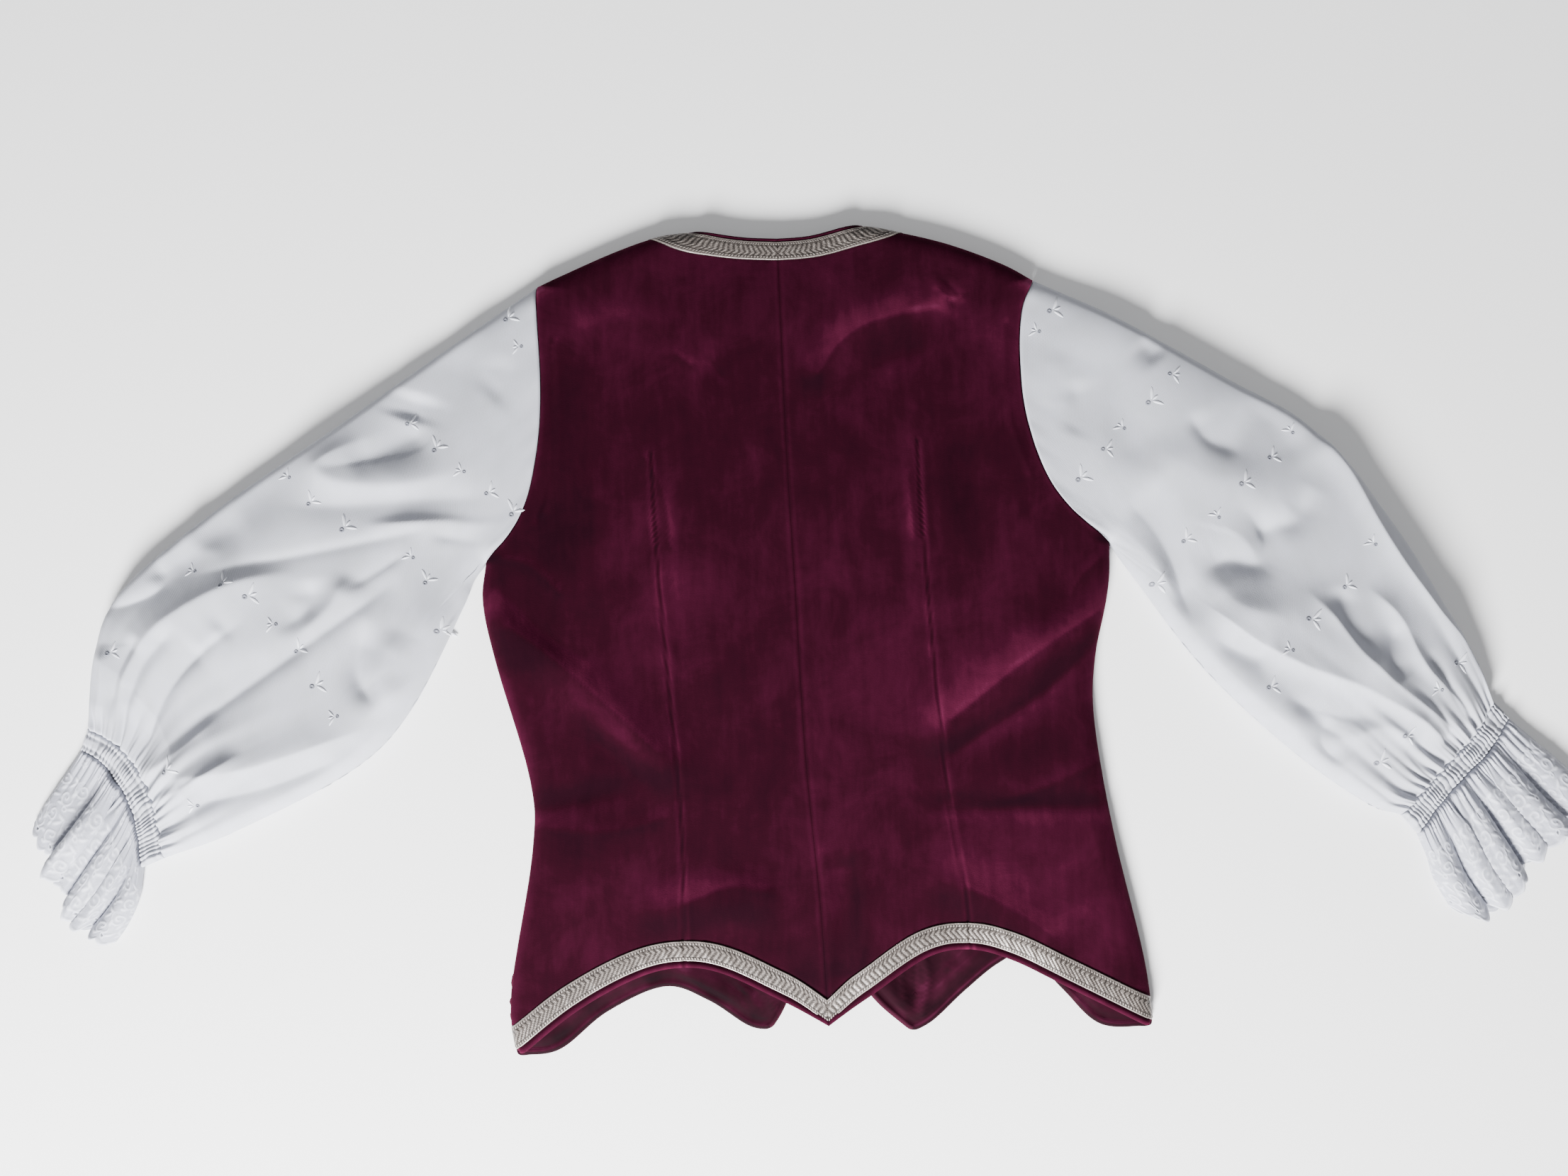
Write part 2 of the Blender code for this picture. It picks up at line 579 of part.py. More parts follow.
def frill_rings(side):
    """Rings of the frill: waves that grow to a scalloped hem, over a flat underside."""
    fill = patch(run([FRILL_UPPER[side]]), run([FRILL_LOWER[side]]), band_line(side), run([FRILL_HEM[side]]))
    above = np.arange(FRILL_ACROSS) / FRILL_ACROSS
    below = 1 - above
    share = np.concatenate([above, below])
    scallop = 1 - SCALLOP_DEPTH * (1 - np.abs(np.sin(np.pi * SCALLOPS * share)))
    length = np.linalg.norm(fill(0.5, 1.0) - fill(0.5, 0.0))
    outside, inside = [], []
    for along in FRILL_SHARES:
        z_above, z_below, arch = section(above, below, FRILL_EDGE, loft_at(FRILL_LOFT, along))
        for wave in FRILL_WAVES[side]:
            z_above += wave.height * along * np.exp(-(((above - wave.place) / wave.width) ** 2)) * arch
        height = np.concatenate([z_above, z_below])
        wide = np.linalg.norm(fill(1.0, along) - fill(0.0, along))
        reach = np.maximum(along * (1 + along * (scallop - 1)), FRILL_GAP / length)
        outside.append(place_ring(fill, share, height, reach))
        inside.append(place_ring(fill, *offset_section(share, height, wide, -COTTON_WALL), reach))
    return np.array(outside), np.array(inside)


def build_back(side):
    """Half of the back, with its braid along the neck and the hem."""
    plan = back_plan(side)
    under = with_height(plan, back_under(plan[..., 0], plan[..., 1]))
    cloth(f"back_{side}", VELVET, under, VELVET_WALL)
    over = under + (0, 0, VELVET_WALL + SEAM_GAP)
    cloth(f"neck_braid_{side}", BRAID, over[1:3], BRAID_WALL)
    cloth(f"hem_braid_{side}", BRAID, over[-3:-1], BRAID_WALL)


def build_front(side):
    """One front, which rests on the ground and is lifted over its own braid and along its seams."""
    plan = front_plan(side)
    rows, columns = plan.shape[:2]
    lifted = np.zeros((rows, columns))
    lifted[1:3, 1:] = FRONT_LIFT
    lifted[-3:-1, 1:] = FRONT_LIFT
    lifted[1:-1, 1:3] = FRONT_LIFT
    lifted[:, -1] = FRONT_LIFT
    for row, share in enumerate(FRONT_DOWN, MARGIN_ROWS):
        if SHOULDER_POINT < share < UNDERARM_POINT:
            lifted[row, -1] = 0
    cloth(f"front_{side}", VELVET, with_height(plan, lifted), VELVET_WALL)

    def on_border(row, column):
        inside = 1 <= row < rows - 2 and 1 <= column
        return inside and (row == 1 or row == rows - 3 or column == 1)

    cloth(f"front_braid_{side}", BRAID, with_height(plan, BRAID_UNDER), BRAID_WALL, on_border)


def clear_scene():
    for thing in list(bpy.data.objects):
        bpy.data.objects.remove(thing)


def main():
    clear_scene()
    collection = bpy.data.collections.new("velvet_bodice_with_sleeves")
    bpy.context.scene.collection.children.link(collection)
    garment = bpy.data.objects.new("garment", None)
    garment.location = (LAY_X * MM, LAY_Y * MM, 0)
    collection.objects.link(garment)
    for side in SIDES:
        build_back(side)
        build_front(side)
        ring_wall(f"sleeve_{side}", COTTON, *sleeve_rings(side))
        ring_wall(f"wrist_band_{side}", COTTON, *band_rings(side))
        ring_wall(f"frill_{side}", COTTON, *frill_rings(side))


main()
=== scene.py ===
"""Velvet bodice with attached cotton sleeves, laid flat on its front with the back up.

The outline tables are in millimetres on the table that the garment lies on, with the neck towards +Y. Every
panel is a patch between its four edges, and its folds are heights over that patch.
"""

import math
from collections import namedtuple

import bmesh
import bpy
import numpy as np
from mathutils import Matrix, Vector
from mathutils.bvhtree import BVHTree

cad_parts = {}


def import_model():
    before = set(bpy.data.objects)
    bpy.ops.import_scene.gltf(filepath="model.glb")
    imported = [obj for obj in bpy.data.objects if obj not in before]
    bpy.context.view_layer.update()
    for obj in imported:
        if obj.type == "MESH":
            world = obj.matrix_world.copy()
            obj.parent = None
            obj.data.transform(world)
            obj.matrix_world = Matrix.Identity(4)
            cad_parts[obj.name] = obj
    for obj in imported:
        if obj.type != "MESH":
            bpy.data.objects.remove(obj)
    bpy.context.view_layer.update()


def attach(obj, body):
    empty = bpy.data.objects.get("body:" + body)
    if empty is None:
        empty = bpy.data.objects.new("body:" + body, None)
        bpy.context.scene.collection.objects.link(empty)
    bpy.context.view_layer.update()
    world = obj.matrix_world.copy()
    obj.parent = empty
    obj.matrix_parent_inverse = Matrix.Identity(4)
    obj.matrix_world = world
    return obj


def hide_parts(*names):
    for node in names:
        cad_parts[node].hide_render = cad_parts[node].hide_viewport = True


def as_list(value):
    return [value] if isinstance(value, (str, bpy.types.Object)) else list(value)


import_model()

MM = 0.001
SIDES = ("left", "right")
LAY_X = -3.0  # puts the middle of the whole garment on the origin
LAY_Y = 13.0

# Rows of the tables. Lengths are in millimetres; a share, a start or an end is part of the way along an edge.
Fold = namedtuple("Fold", "path width height power lean taper", defaults=(2, 0, 0))
Gather = namedtuple("Gather", "count start reach height")
Leaf = namedtuple("Leaf", "start turn length width bend")
PileAndShadeMark = namedtuple("PileAndShadeMark", "place reach turn shade")
Pleat = namedtuple("Pleat", "place width lap height")
Ridge = namedtuple("Ridge", "middle width height power", defaults=(2,))
Ring = namedtuple("Ring", "reach rise")
Scroll = namedtuple("Scroll", "along up way")
StitchedLeaf = namedtuple("StitchedLeaf", "along up turn half_length")
Tube = namedtuple("Tube", "start end height")

# Velvet
VELVET_WALL = 2.0  # of the CAD's panels, which set the height of the upper face
VELVET_SHOWN = 1.3  # wall of the dressed velvet, under the same upper face
ROLL = 1.5  # radius of a turned edge
SEAM_HEIGHT = 3.8  # of the back's underside at its outer edges
BACK_LOFT = 13.5  # of the back's underside away from them
SEAM_ROLL = 17.0  # how far inwards from them it rises
SEAM_GROOVE = 0.12  # share of a turned edge that the centre back seam sinks
SEAM_LIFT = 2.3  # how far a front rises at the side seam and the shoulder, to meet the back there
FRONT_LIFT = 1.5  # how far it rises over its braid and at the armhole
LIFT_REACH = 6.0  # how far from the seam that rise is felt
BRAID_FADE = 4.0  # how far inside the braid that rise has gone
CORNER_ROUND = 5.5  # where the side seam meets the hem
TIP_ROUND = 8.0
CREASE_AT_SEAM = 0.25  # share of its height that a crease keeps at an outer edge
HEM_ROLL = (Ridge(2.5, 2.1, 1.1),)
NECK_ROLL = (Ridge(1.4, 1.1, 0.6),)
DART_RIDGES = (Ridge(4, 3, 0.3), Ridge(0, 1, -0.5))
TIP_RIDGES = (Ridge(12, 4, 0.6), Ridge(2.4, 1.7, 0.7))
PANEL_WIDE = 215
BACK_LONG = 570
FRONT_LONG = 500
BACK_STEP = 1.9  # between the points of the back's upper face
FRONT_STEP_ACROSS = 2.6
FRONT_STEP_DOWN = 2.4
EDGE_STEPS = np.array([0, 0.12, 0.35, 0.7, 1.15, 1.7, 2.4, 3.2, 4.2, 5.4])

# Braid
BRAID_SHOWN = 0.5
BRAID_WIDE = 14.5
NECK_MARGIN = 3.0
HEM_MARGIN = 4.8
TIP_MARGIN = 1.8  # at the point of the back hem, and how far from there it has grown to the hem's
TIP_REACH = 26.0
MITRE_LIMIT = 1.9
EVENED = 12  # places to each side over which a braid's edge is evened out
BRAID_STEP = 0.6  # between its points along it, on the back
BACK_BRAID_ROWS = 25
FRONT_BRAID_ROWS = 13
BRAID_GAP = 0.1  # between it and the velvet
BRAID_BED = 0.35  # how far the velvet sinks under the braid
OVER_BRAID = 2.7  # least height of the lining over the braid that the front lies on
UNDER_BRAID = 1.9  # height of the face that this braid is sewn on
BRAID_STITCHES = (Ridge(HEM_MARGIN + 1, 1.1, -0.8), Ridge(HEM_MARGIN + BRAID_WIDE - 1, 1.1, -0.8))
BRAID_CORDS = (Ridge(0.7, 0.55, 0.75, 4), Ridge(13.8, 0.55, 0.75, 4))
BEAD_LINES = (2.2, 12.3)
BEAD_STEP = 2.1
BEAD_REACH = (0.66, 0.7)  # along the braid and across it
STRAND_STEP = 3.9
STRAND_REACH = 1.5
FIELD_REACH = 4.4  # from the middle of the braid to where its strands end
STRAND_SLANT = 0.85
HOOK_LINE = 9.0  # how far across the braid its strands turn back
STRAND_RIPPLE = 2.0
BRAID_ARCH = 0.55
BRAID_RELIEF = 0.75
BULGE = 0.12
BULGE_STEP = 9.5
PUCKER_LIFT = 0.5
# Puckers of the braid along a hem: middle and half width as shares of its way, how high
BRAID_PUCKERS = (
    Ridge(0.32, 0.012, 1.0), Ridge(0.38, 0.01, 0.8), Ridge(0.45, 0.013, 1.1), Ridge(0.5, 0.01, 0.9),
    Ridge(0.56, 0.012, 1.1), Ridge(0.63, 0.011, 0.8), Ridge(0.71, 0.012, 1.0), Ridge(0.8, 0.01, 0.6),
)

# Outlines of the velvet, from the neck down
CENTRE_BACK = [(-6, 278), (-6, 125), (-4, 10), (-2, -106), (4, -216), (6, -299)]
BACK_NECK = {
    "left": [(-6, 278), (-30, 280), (-53, 284), (-70, 287)],
    "right": [(-6, 278), (17, 279), (41, 284), (56, 287)],
}
SHOULDER = {
    "left": [(-70, 287), (-97, 284), (-129, 274), (-171, 257), (-187, 250)],
    "right": [(56, 287), (79, 282), (121, 270), (161, 253), (184, 239)],
}
ARMHOLE = {
    "left": [(-187, 250), (-186, 216), (-185, 175), (-188, 133), (-197, 92), (-210, 66), (-231, 44)],
    "right": [(184, 239), (173, 216), (169, 180), (171, 138), (182, 96), (200, 66), (229, 39)],
}
SIDE_SEAM = {
    "left": [(-231, 44), (-234, 15), (-225, -32), (-203, -116), (-203, -168), (-221, -266), (-218, -312)],
    "right": [(229, 39), (226, 6), (213, -46), (210, -92), (219, -171), (235, -260), (239, -311)],
}
BACK_HEM = {
    "left": [(6, -299), (-28, -278), (-69, -257), (-100, -252), (-132, -259), (-174, -280), (-218, -312)],
    "right": [(6, -299), (34, -280), (77, -253), (108, -248), (139, -257), (180, -279), (239, -311)],
}
FRONT_NECK = {
    "left": [(-3, 125), (-34, 175), (-58, 240), (-70, 287)],
    "right": [(-3, 125), (25, 175), (46, 240), (56, 287)],
}
FRONTS_MEET = [(-3, 125), (-3, -170)]
FRONT_EDGE = {
    "left": [(-3, -170), (-8, -235), (-22, -280), (-35, -302)],
    "right": [(-3, -170), (12, -235), (37, -280), (66, -308)],
}
MEETING_SHARE = 0.68  # of a front's inner edge, where it meets the other one
FRONT_HEM = {
    "left": [(-35, -302), (-52, -298), (-80, -279), (-111, -268), (-153, -284), (-188, -309), (-218, -312)],
    "right": [
        (66, -308), (82, -300), (106, -280), (131, -262), (152, -256), (176, -282), (202, -308), (239, -311),
    ],
}
SHOULDER_POINT = 0.16  # shares of a panel's outer edge where the armhole starts and ends
UNDERARM_POINT = 0.46

# Outlines of the sleeves, from the armhole to the wrist, and of the frills
SLEEVE_UPPER = {
    "left": [(-187, 250), (-257, 205), (-343, 148), (-428, 93), (-499, 35), (-519, -14), (-525, -64)],
    "right": [(184, 239), (243, 209), (324, 158), (385, 117), (443, 36), (482, -42), (502, -88)],
}
SLEEVE_LOWER = {
    "left": [(-231, 44), (-241, 31), (-250, 11), (-290, -62), (-333, -103), (-418, -143), (-470, -160)],
    "right": [(229, 39), (248, 10), (294, -57), (353, -118), (404, -158), (429, -168)],
}
WRIST = {
    "left": [(-525, -64), (-500, -79), (-482, -104), (-474, -129), (-470, -160)],
    "right": [(502, -88), (484, -113), (464, -132), (446, -150), (429, -168)],
}
BAND_END = {
    "left": [(-530, -79), (-513, -90), (-497, -113), (-489, -136), (-486, -166)],
    "right": [(513, -101), (495, -125), (475, -143), (457, -161), (440, -182)],
}
FRILL_UPPER = {
    "left": [(-530, -79), (-546, -101), (-560, -121), (-567, -134)],
    "right": [(513, -101), (530, -117), (548, -134), (573, -158)],
}
FRILL_LOWER = {
    "left": [(-486, -166), (-489, -188), (-497, -206), (-508, -221)],
    "right": [(440, -182), (446, -199), (450, -216), (461, -238)],
}
FRILL_HEM = {
    "left": [(-567, -134), (-556, -158), (-545, -184), (-534, -208), (-508, -221)],
    "right": [(573, -158), (558, -181), (530, -200), (508, -226), (486, -246), (461, -238)],
}

# Creases. One with a sharp crest has a low power; a height below zero is a trough.
BACK_FOLDS = (
    Fold([(-222, 2), (-165, -45), (-104, -106)], 17, 4.5),
    Fold([(222, -14), (150, -52), (98, -92)], 17, 4.5),
    Fold([(100, -146), (212, -152)], 9, -1.8),
    Fold([(-202, -135), (-140, -126)], 9, -1.5),
    Fold([(-110, -210), (-45, -206)], 16, 3.5),
    Fold([(100, -200), (165, -248)], 16, 3.5),
    Fold([(21, -190), (19, -262)], 11, -2.0),
    Fold([(18, 176), (45, 202), (85, 216)], 13, 2.5),
    Fold([(6, -299), (6, -290)], 34, -6.0),
    Fold([(-40, 284), (28, 284)], 34, -4.0),
)
# Finer creases of the velvet, which only the dressed piece has
BACK_CREASES = (
    Fold([(-212, -4), (-170, -38), (-108, -98)], 4, 1.0, 1.2),
    Fold([(-222, 24), (-190, -8), (-160, -30)], 7, -1.4, 1.5),
    Fold([(-222, 48), (-196, 40), (-176, 20)], 4, 0.9, 1.2),
    Fold([(-150, -90), (-120, -120)], 9, -1.2, 1.5),
    Fold([(216, -10), (160, -44), (104, -84)], 4, 1.0, 1.2),
    Fold([(214, -32), (170, -70), (104, -108)], 7, -1.5, 1.5),
    Fold([(222, 30), (200, 10), (190, -16)], 5, 0.9, 1.2),
    Fold([(208, -120), (150, -142), (100, -146)], 5, 0.8, 1.3),
    Fold([(-196, -148), (-150, -154), (-104, -146)], 6, 0.8, 1.3),
    Fold([(-92, -206), (-60, -196), (-34, -200)], 5, 1.0, 1.3),
    Fold([(110, -204), (140, -220), (168, -240)], 5, 1.1, 1.3),
    Fold([(34, -176), (36, -230), (26, -268)], 6, 0.9, 1.3),
    Fold([(8, -176), (12, -232), (8, -276)], 6, 0.8, 1.3),
    Fold([(20, 172), (38, 196), (64, 210), (110, 218)], 5, 1.0, 1.2),
    Fold([(40, 150), (62, 176), (90, 186)], 10, -1.2, 2),
    Fold([(112, 232), (122, 222)], 3, 1.0, 1.3),
    Fold([(118, 238), (130, 226)], 3, -0.8, 1.5),
    Fold([(-84, 192), (-74, 184)], 3.5, 0.9, 1.3),
    Fold([(-60, 186), (-52, 174)], 3.5, -0.6, 1.5),
    Fold([(-150, 214), (-120, 222), (-92, 216)], 10, 0.8, 1.6),
    Fold([(-172, 205), (-172, 150), (-176, 110), (-186, 78)], 2.6, 0.8, 1.6),
    Fold([(-176, 205), (-177, 150), (-181, 108), (-191, 74)], 2.2, -0.6, 2),
    Fold([(160, 205), (157, 170), (160, 130), (172, 90)], 2.8, 0.6, 1.6),
    Fold([(-110, 116), (-98, 90), (-94, 50)], 3, 0.7, 1.4),
    Fold([(82, 96), (84, 60), (86, 30)], 3, 0.7, 1.4),
    Fold([(128, 100), (132, 60), (124, 10)], 16, -0.9, 2),
    Fold([(-60, 60), (-56, 10), (-60, -40)], 22, 0.9, 2),
    Fold([(50, -20), (54, -70), (46, -110)], 18, 0.8, 2),
    Fold([(-150, 96), (-140, 60), (-150, 20)], 16, 0.9, 2),
    Fold([(-170, -206), (-150, -180), (-152, -160)], 12, 0.9, 2),
    Fold([(190, -226), (170, -196), (172, -172)], 12, 0.9, 2),
)
# Creases of the lining inside the tips
TIP_CREASES = {
    "left": (
        Fold([(-66, -250), (-60, -262), (-44, -284)], 2.2, 0.9, 1.5),
        Fold([(-98, -258), (-84, -266), (-66, -276)], 3, 0.8, 1.5),
        Fold([(-46, -262), (-34, -282), (-30, -294)], 2.0, 0.8, 1.4),
        Fold([(-76, -258), (-58, -272), (-50, -288)], 1.8, -0.6, 1.5),
        Fold([(-120, -262), (-100, -264)], 2.4, 0.5, 1.5),
    ),
    "right": (
        Fold([(64, -236), (60, -262), (62, -284)], 2.4, 1.1, 1.5),
        Fold([(76, -250), (80, -270), (74, -294)], 2.4, 1.0, 1.5),
        Fold([(92, -262), (102, -266)], 2, 0.6, 1.5),
        Fold([(70, -248), (70, -272), (68, -290)], 1.8, -0.7, 1.5),
        Fold([(48, -262), (54, -280), (62, -296)], 2.2, 0.7, 1.5),
        Fold([(208, -284), (222, -296)], 2.6, 0.8, 1.5),
    ),
}
DART = {
    "left": [(-106, 119), (-105, 57), (-99, -48), (-94, -136), (-94, -220), (-95, -254)],
    "right": [(90, 120), (91, 38), (94, -47), (99, -140), (108, -216), (109, -249)],
}
SLEEVE_FOLDS = {
    "left": (
        Fold([(-484, -98), (-438, -63), (-383, -27), (-328, 9), (-288, 36)], 16, -7.5, 1.3, 0.45, 0.25),
        Fold([(-484, -98), (-471, -59), (-444, -21), (-397, 12)], 10, -6.3, 1.3, 0.4, 0.25),
        Fold([(-500, -60), (-488, -26), (-461, 9), (-407, 36), (-356, 42)], 13, 6.0, 1.3, -0.4, 0.25),
        Fold([(-492, -50), (-476, -19), (-449, 9)], 7, -4.5, 1.5, 0, 0.25),
        Fold([(-516, -62), (-507, -31), (-508, -2)], 8, 4.8, 1.4, 0, 0.25),
        Fold([(-506, -60), (-492, -21), (-478, 2)], 7, -4.8, 1.5, 0, 0.25),
        Fold([(-472, 58), (-464, 37), (-487, 25), (-514, 22)], 9, -4.5, 1.2, 0.4, 0.2),
        Fold(
            [(-293, 145), (-336, 129), (-348, 118), (-330, 106), (-284, 103), (-231, 116)],
            12, 4.8, 1.4, 0.3, 0.25,
        ),
        Fold([(-328, 121), (-297, 129), (-265, 146)], 12, -3.9, 1.7, 0, 0.25),
        Fold([(-276, 172), (-284, 150)], 15, -5.1, 1.8, 0, 0.3),
        Fold([(-206, 198), (-210, 176), (-223, 162)], 16, -3.9, 1.8, 0, 0.3),
        Fold([(-380, 92), (-325, 90), (-274, 92), (-200, 90)], 12, -3.9, 1.5, 0, 0.25),
        Fold([(-262, 71), (-299, 65), (-380, 52), (-450, 42)], 6, -2.8, 1.1, 0.4, 0.25),
        Fold([(-320, 74), (-262, 75), (-232, 72), (-206, 74)], 7, 4.5, 1.3, -0.5, 0.2),
        Fold([(-270, 66), (-246, 61), (-228, 58), (-212, 62)], 4, -3.9, 1.3, 0.3, 0.2),
        Fold([(-479, -103), (-413, -99), (-373, -90), (-303, -68)], 11, 5.4, 1.4, 0.3, 0.25),
        Fold([(-455, -124), (-387, -111), (-333, -92)], 8, -3.6, 1.4, 0, 0.25),
        Fold([(-312, 8), (-322, -21), (-321, -39), (-306, -60)], 11, -6.0, 1.4, 0.3, 0.25),
        Fold([(-288, -2), (-304, -34), (-290, -62)], 14, 3.6, 1.8, 0, 0.25),
        Fold([(-327, 40), (-339, 15), (-372, -10)], 11, 4.8, 1.5, 0.3, 0.3),
        Fold([(-357, 38), (-357, 16), (-380, -2)], 10, -4.8, 1.5, 0, 0.3),
        Fold([(-415, 6), (-440, -14)], 9, 3.6, 1.6, 0, 0.3),
        Fold([(-330, 26), (-282, 54)], 5, -2.1, 1.2, 0.4, 0.3),
        Fold([(-452, 92), (-440, 66), (-414, 58)], 10, 2.7, 1.6, 0, 0.3),
        Fold([(-400, 82), (-430, 66), (-470, 30)], 16, -2.7, 1.8, 0, 0.3),
        Fold([(-400, -84), (-440, -106), (-476, -122)], 6, 3.9, 1.4, 0.3, 0.25),
        Fold([(-420, -58), (-452, -84), (-484, -104)], 6, 3.6, 1.4, 0.3, 0.25),
        Fold([(-232, 222), (-262, 160), (-304, 112)], 26, -5.0, 2, 0, 0.3),
        Fold([(-350, 122), (-420, 78), (-484, 16)], 22, -4.5, 2, 0, 0.3),
        Fold([(-296, 36), (-350, 2), (-428, -34)], 24, 4.5, 2, 0, 0.3),
        Fold([(-256, 28), (-290, -30), (-338, -84)], 20, 3.5, 2, 0, 0.3),
    ),
    "right": (
        Fold([(384, 118), (399, 90), (427, 26), (455, -17), (482, -53), (502, -96)], 17, 9.0, 1.2, 0.5, 0.15),
        Fold([(407, 90), (436, 41), (463, -2), (480, -36)], 13, -4.5, 1.6, 0, 0.25),
        Fold([(286, 10), (309, 21), (334, 18), (338, 40), (316, 68)], 12, -6.9, 1.4, 0.2, 0.25),
        Fold([(376, 74), (363, 50), (347, 45), (332, 40)], 10, -5.1, 1.4, 0, 0.25),
        Fold([(296, 14), (313, -11), (352, -24)], 12, 3.9, 1.6, 0, 0.3),
        Fold(
            [(288, -6), (320, -35), (358, -58), (397, -75), (438, -101), (470, -130)],
            14, 8.4, 1.2, 0.5, 0.15,
        ),
        Fold([(292, -32), (319, -47), (336, -50)], 9, -3.9, 1.6, 0, 0.3),
        Fold(
            [(360, 0), (381, -25), (398, -52), (423, -76), (459, -104), (482, -122)],
            11, 5.7, 1.2, 0.4, 0.2,
        ),
        Fold([(405, 0), (428, -27), (442, -59), (467, -86), (488, -112)], 10, 6.0, 1.2, 0.4, 0.2),
        Fold([(387, 0), (391, -28), (413, -54)], 9, -5.1, 1.5, 0, 0.25),
        Fold([(377, -94), (369, -112), (384, -130)], 9, -4.8, 1.4, 0, 0.25),
        Fold([(382, -112), (411, -103), (440, -116)], 10, 4.2, 1.6, 0, 0.25),
        Fold([(240, 70), (258, 49), (272, 20), (284, -28)], 13, -6.6, 1.4, 0.3, 0.2),
        Fold([(228, 54), (252, 31), (274, -8)], 8, 3.9, 1.5, 0, 0.25),
        Fold([(194, 78), (216, 66), (232, 50)], 5, 3.6, 1.3, 0.4, 0.2),
        Fold([(198, 184), (184, 156), (180, 140)], 12, 3.3, 1.6, 0, 0.25),
        Fold([(207, 162), (209, 138), (200, 118)], 11, -3.9, 1.6, 0, 0.25),
        Fold([(258, 188), (273, 172)], 12, -3.6, 1.8, 0, 0.3),
        Fold([(290, 132), (302, 110), (328, 100)], 10, -3.0, 1.5, 0.4, 0.25),
        Fold([(427, -28), (419, -52), (428, -70)], 6, -3.9, 1.4, 0, 0.25),
        Fold([(430, -70), (459, -104), (452, -124)], 6, -3.3, 1.4, 0, 0.25),
        Fold([(446, -48), (462, -81), (479, -110)], 6, -3.6, 1.4, 0, 0.25),
        Fold([(240, 120), (300, 84), (344, 84)], 18, 2.7, 1.8, 0, 0.3),
        Fold([(330, 140), (356, 118), (372, 90)], 16, -2.7, 1.8, 0, 0.3),
        Fold([(340, -76), (372, -92), (410, -98)], 9, -3.3, 1.5, 0, 0.3),
        Fold([(300, -62), (330, -88), (366, -112)], 12, 3.0, 1.6, 0, 0.3),
        Fold([(206, 200), (238, 134), (266, 84)], 26, -5.0, 2, 0, 0.3),
        Fold([(296, 118), (350, 100), (404, 56)], 24, -4.0, 2, 0, 0.3),
        Fold([(322, 4), (380, -40), (436, -76)], 22, 4.5, 2, 0, 0.3),
        Fold([(262, -14), (310, -70), (378, -124)], 20, 4.0, 2, 0, 0.3),
    ),
}

# Where the pile of the velvet is pressed or stroked, mixed with painted shade in and beside its creases,
# painted highlights along their crests and a broad painted lightening of the right side. A mark's reach is
# across and along its way, its turn is in degrees.
PILE_AND_PAINTED_SHADE = (
    PileAndShadeMark((-150, 220), (46, 22), 20, 0.12),
    PileAndShadeMark((-95, 205), (60, 26), 0, 0.10),
    PileAndShadeMark((-60, 190), (18, 10), 40, 0.18),
    PileAndShadeMark((62, 206), (46, 12), 25, 0.16),
    PileAndShadeMark((110, 218), (24, 8), -10, 0.18),
    PileAndShadeMark((36, 176), (14, 34), -25, 0.14),
    PileAndShadeMark((120, 226), (8, 5), 30, 0.28),
    PileAndShadeMark((150, 190), (30, 26), 10, 0.12),
    PileAndShadeMark((-168, 150), (14, 60), 0, -0.14),
    PileAndShadeMark((-176, 60), (30, 34), 30, -0.2),
    PileAndShadeMark((-196, -20), (26, 30), 40, -0.18),
    PileAndShadeMark((-120, -14), (40, 30), -40, -0.04),
    PileAndShadeMark((-111, 20), (40, 60), 0, 0.12),
    PileAndShadeMark((-160, -62), (64, 13), -45, 0.2),
    PileAndShadeMark((-128, -92), (30, 9), -45, 0.24),
    PileAndShadeMark((-92, 66), (6, 50), 2, 0.14),
    PileAndShadeMark((82, 62), (6, 46), 0, 0.14),
    PileAndShadeMark((116, 70), (16, 44), 0, -0.12),
    PileAndShadeMark((158, 96), (18, 40), 10, -0.1),
    PileAndShadeMark((178, -16), (34, 22), 30, -0.16),
    PileAndShadeMark((168, -42), (60, 10), 32, 0.18),
    PileAndShadeMark((130, -84), (44, 12), 32, 0.12),
    PileAndShadeMark((150, -110), (50, 18), 10, -0.12),
    PileAndShadeMark((20, 20), (50, 90), 0, 0.04),
    PileAndShadeMark((50, -60), (36, 40), 0, 0.06),
    PileAndShadeMark((-50, -60), (36, 60), 10, 0.04),
    PileAndShadeMark((-120, -120), (60, 40), 0, -0.1),
    PileAndShadeMark((20, -200), (34, 60), 0, 0.08),
    PileAndShadeMark((30, -214), (7, 40), 0, -0.28),
    PileAndShadeMark((-50, -200), (40, 20), 10, -0.12),
    PileAndShadeMark((-66, -226), (30, 10), 20, 0.16),
    PileAndShadeMark((-140, -218), (50, 40), 10, 0.1),
    PileAndShadeMark((150, -200), (40, 20), -30, 0.14),
    PileAndShadeMark((196, -236), (22, 40), 0, 0.12),
    PileAndShadeMark((150, -146), (50, 5), -3, -0.2),
    PileAndShadeMark((-170, -132), (34, 5), 8, -0.16),
    PileAndShadeMark((60, 130), (46, 26), 0, -0.06),
    PileAndShadeMark((-60, 120), (46, 40), 0, -0.06),
    PileAndShadeMark((180, 0), (90, 280), 0, 0.08),
)
PILE_AND_SHADE_DEPTH = 0.8  # of every shade in the table
PILE_AND_SHADE_POWER = 0.8
# painted highlight on slopes that rise towards the hem, painted shade on those that fall
PAINTED_SLOPE_SHADE = 0.9
# Painted shade in the seam and dart lines, and painted highlights beside them and along the hem, armhole and
# outer edges
EDGE_PAINTED_SHADE_AND_HIGHLIGHT = {
    "seam": (Ridge(0, 0.9, -0.06), Ridge(2.6, 1.5, 0.06)),
    "dart": (Ridge(0, 0.9, -0.12), Ridge(2.4, 1.4, 0.1)),
    "hem": (Ridge(0, 4.5, 0.1, 4),),
    "armhole": (Ridge(0, 3, 0.1),),
    "outer": (Ridge(0, 6, 0.16),),
}

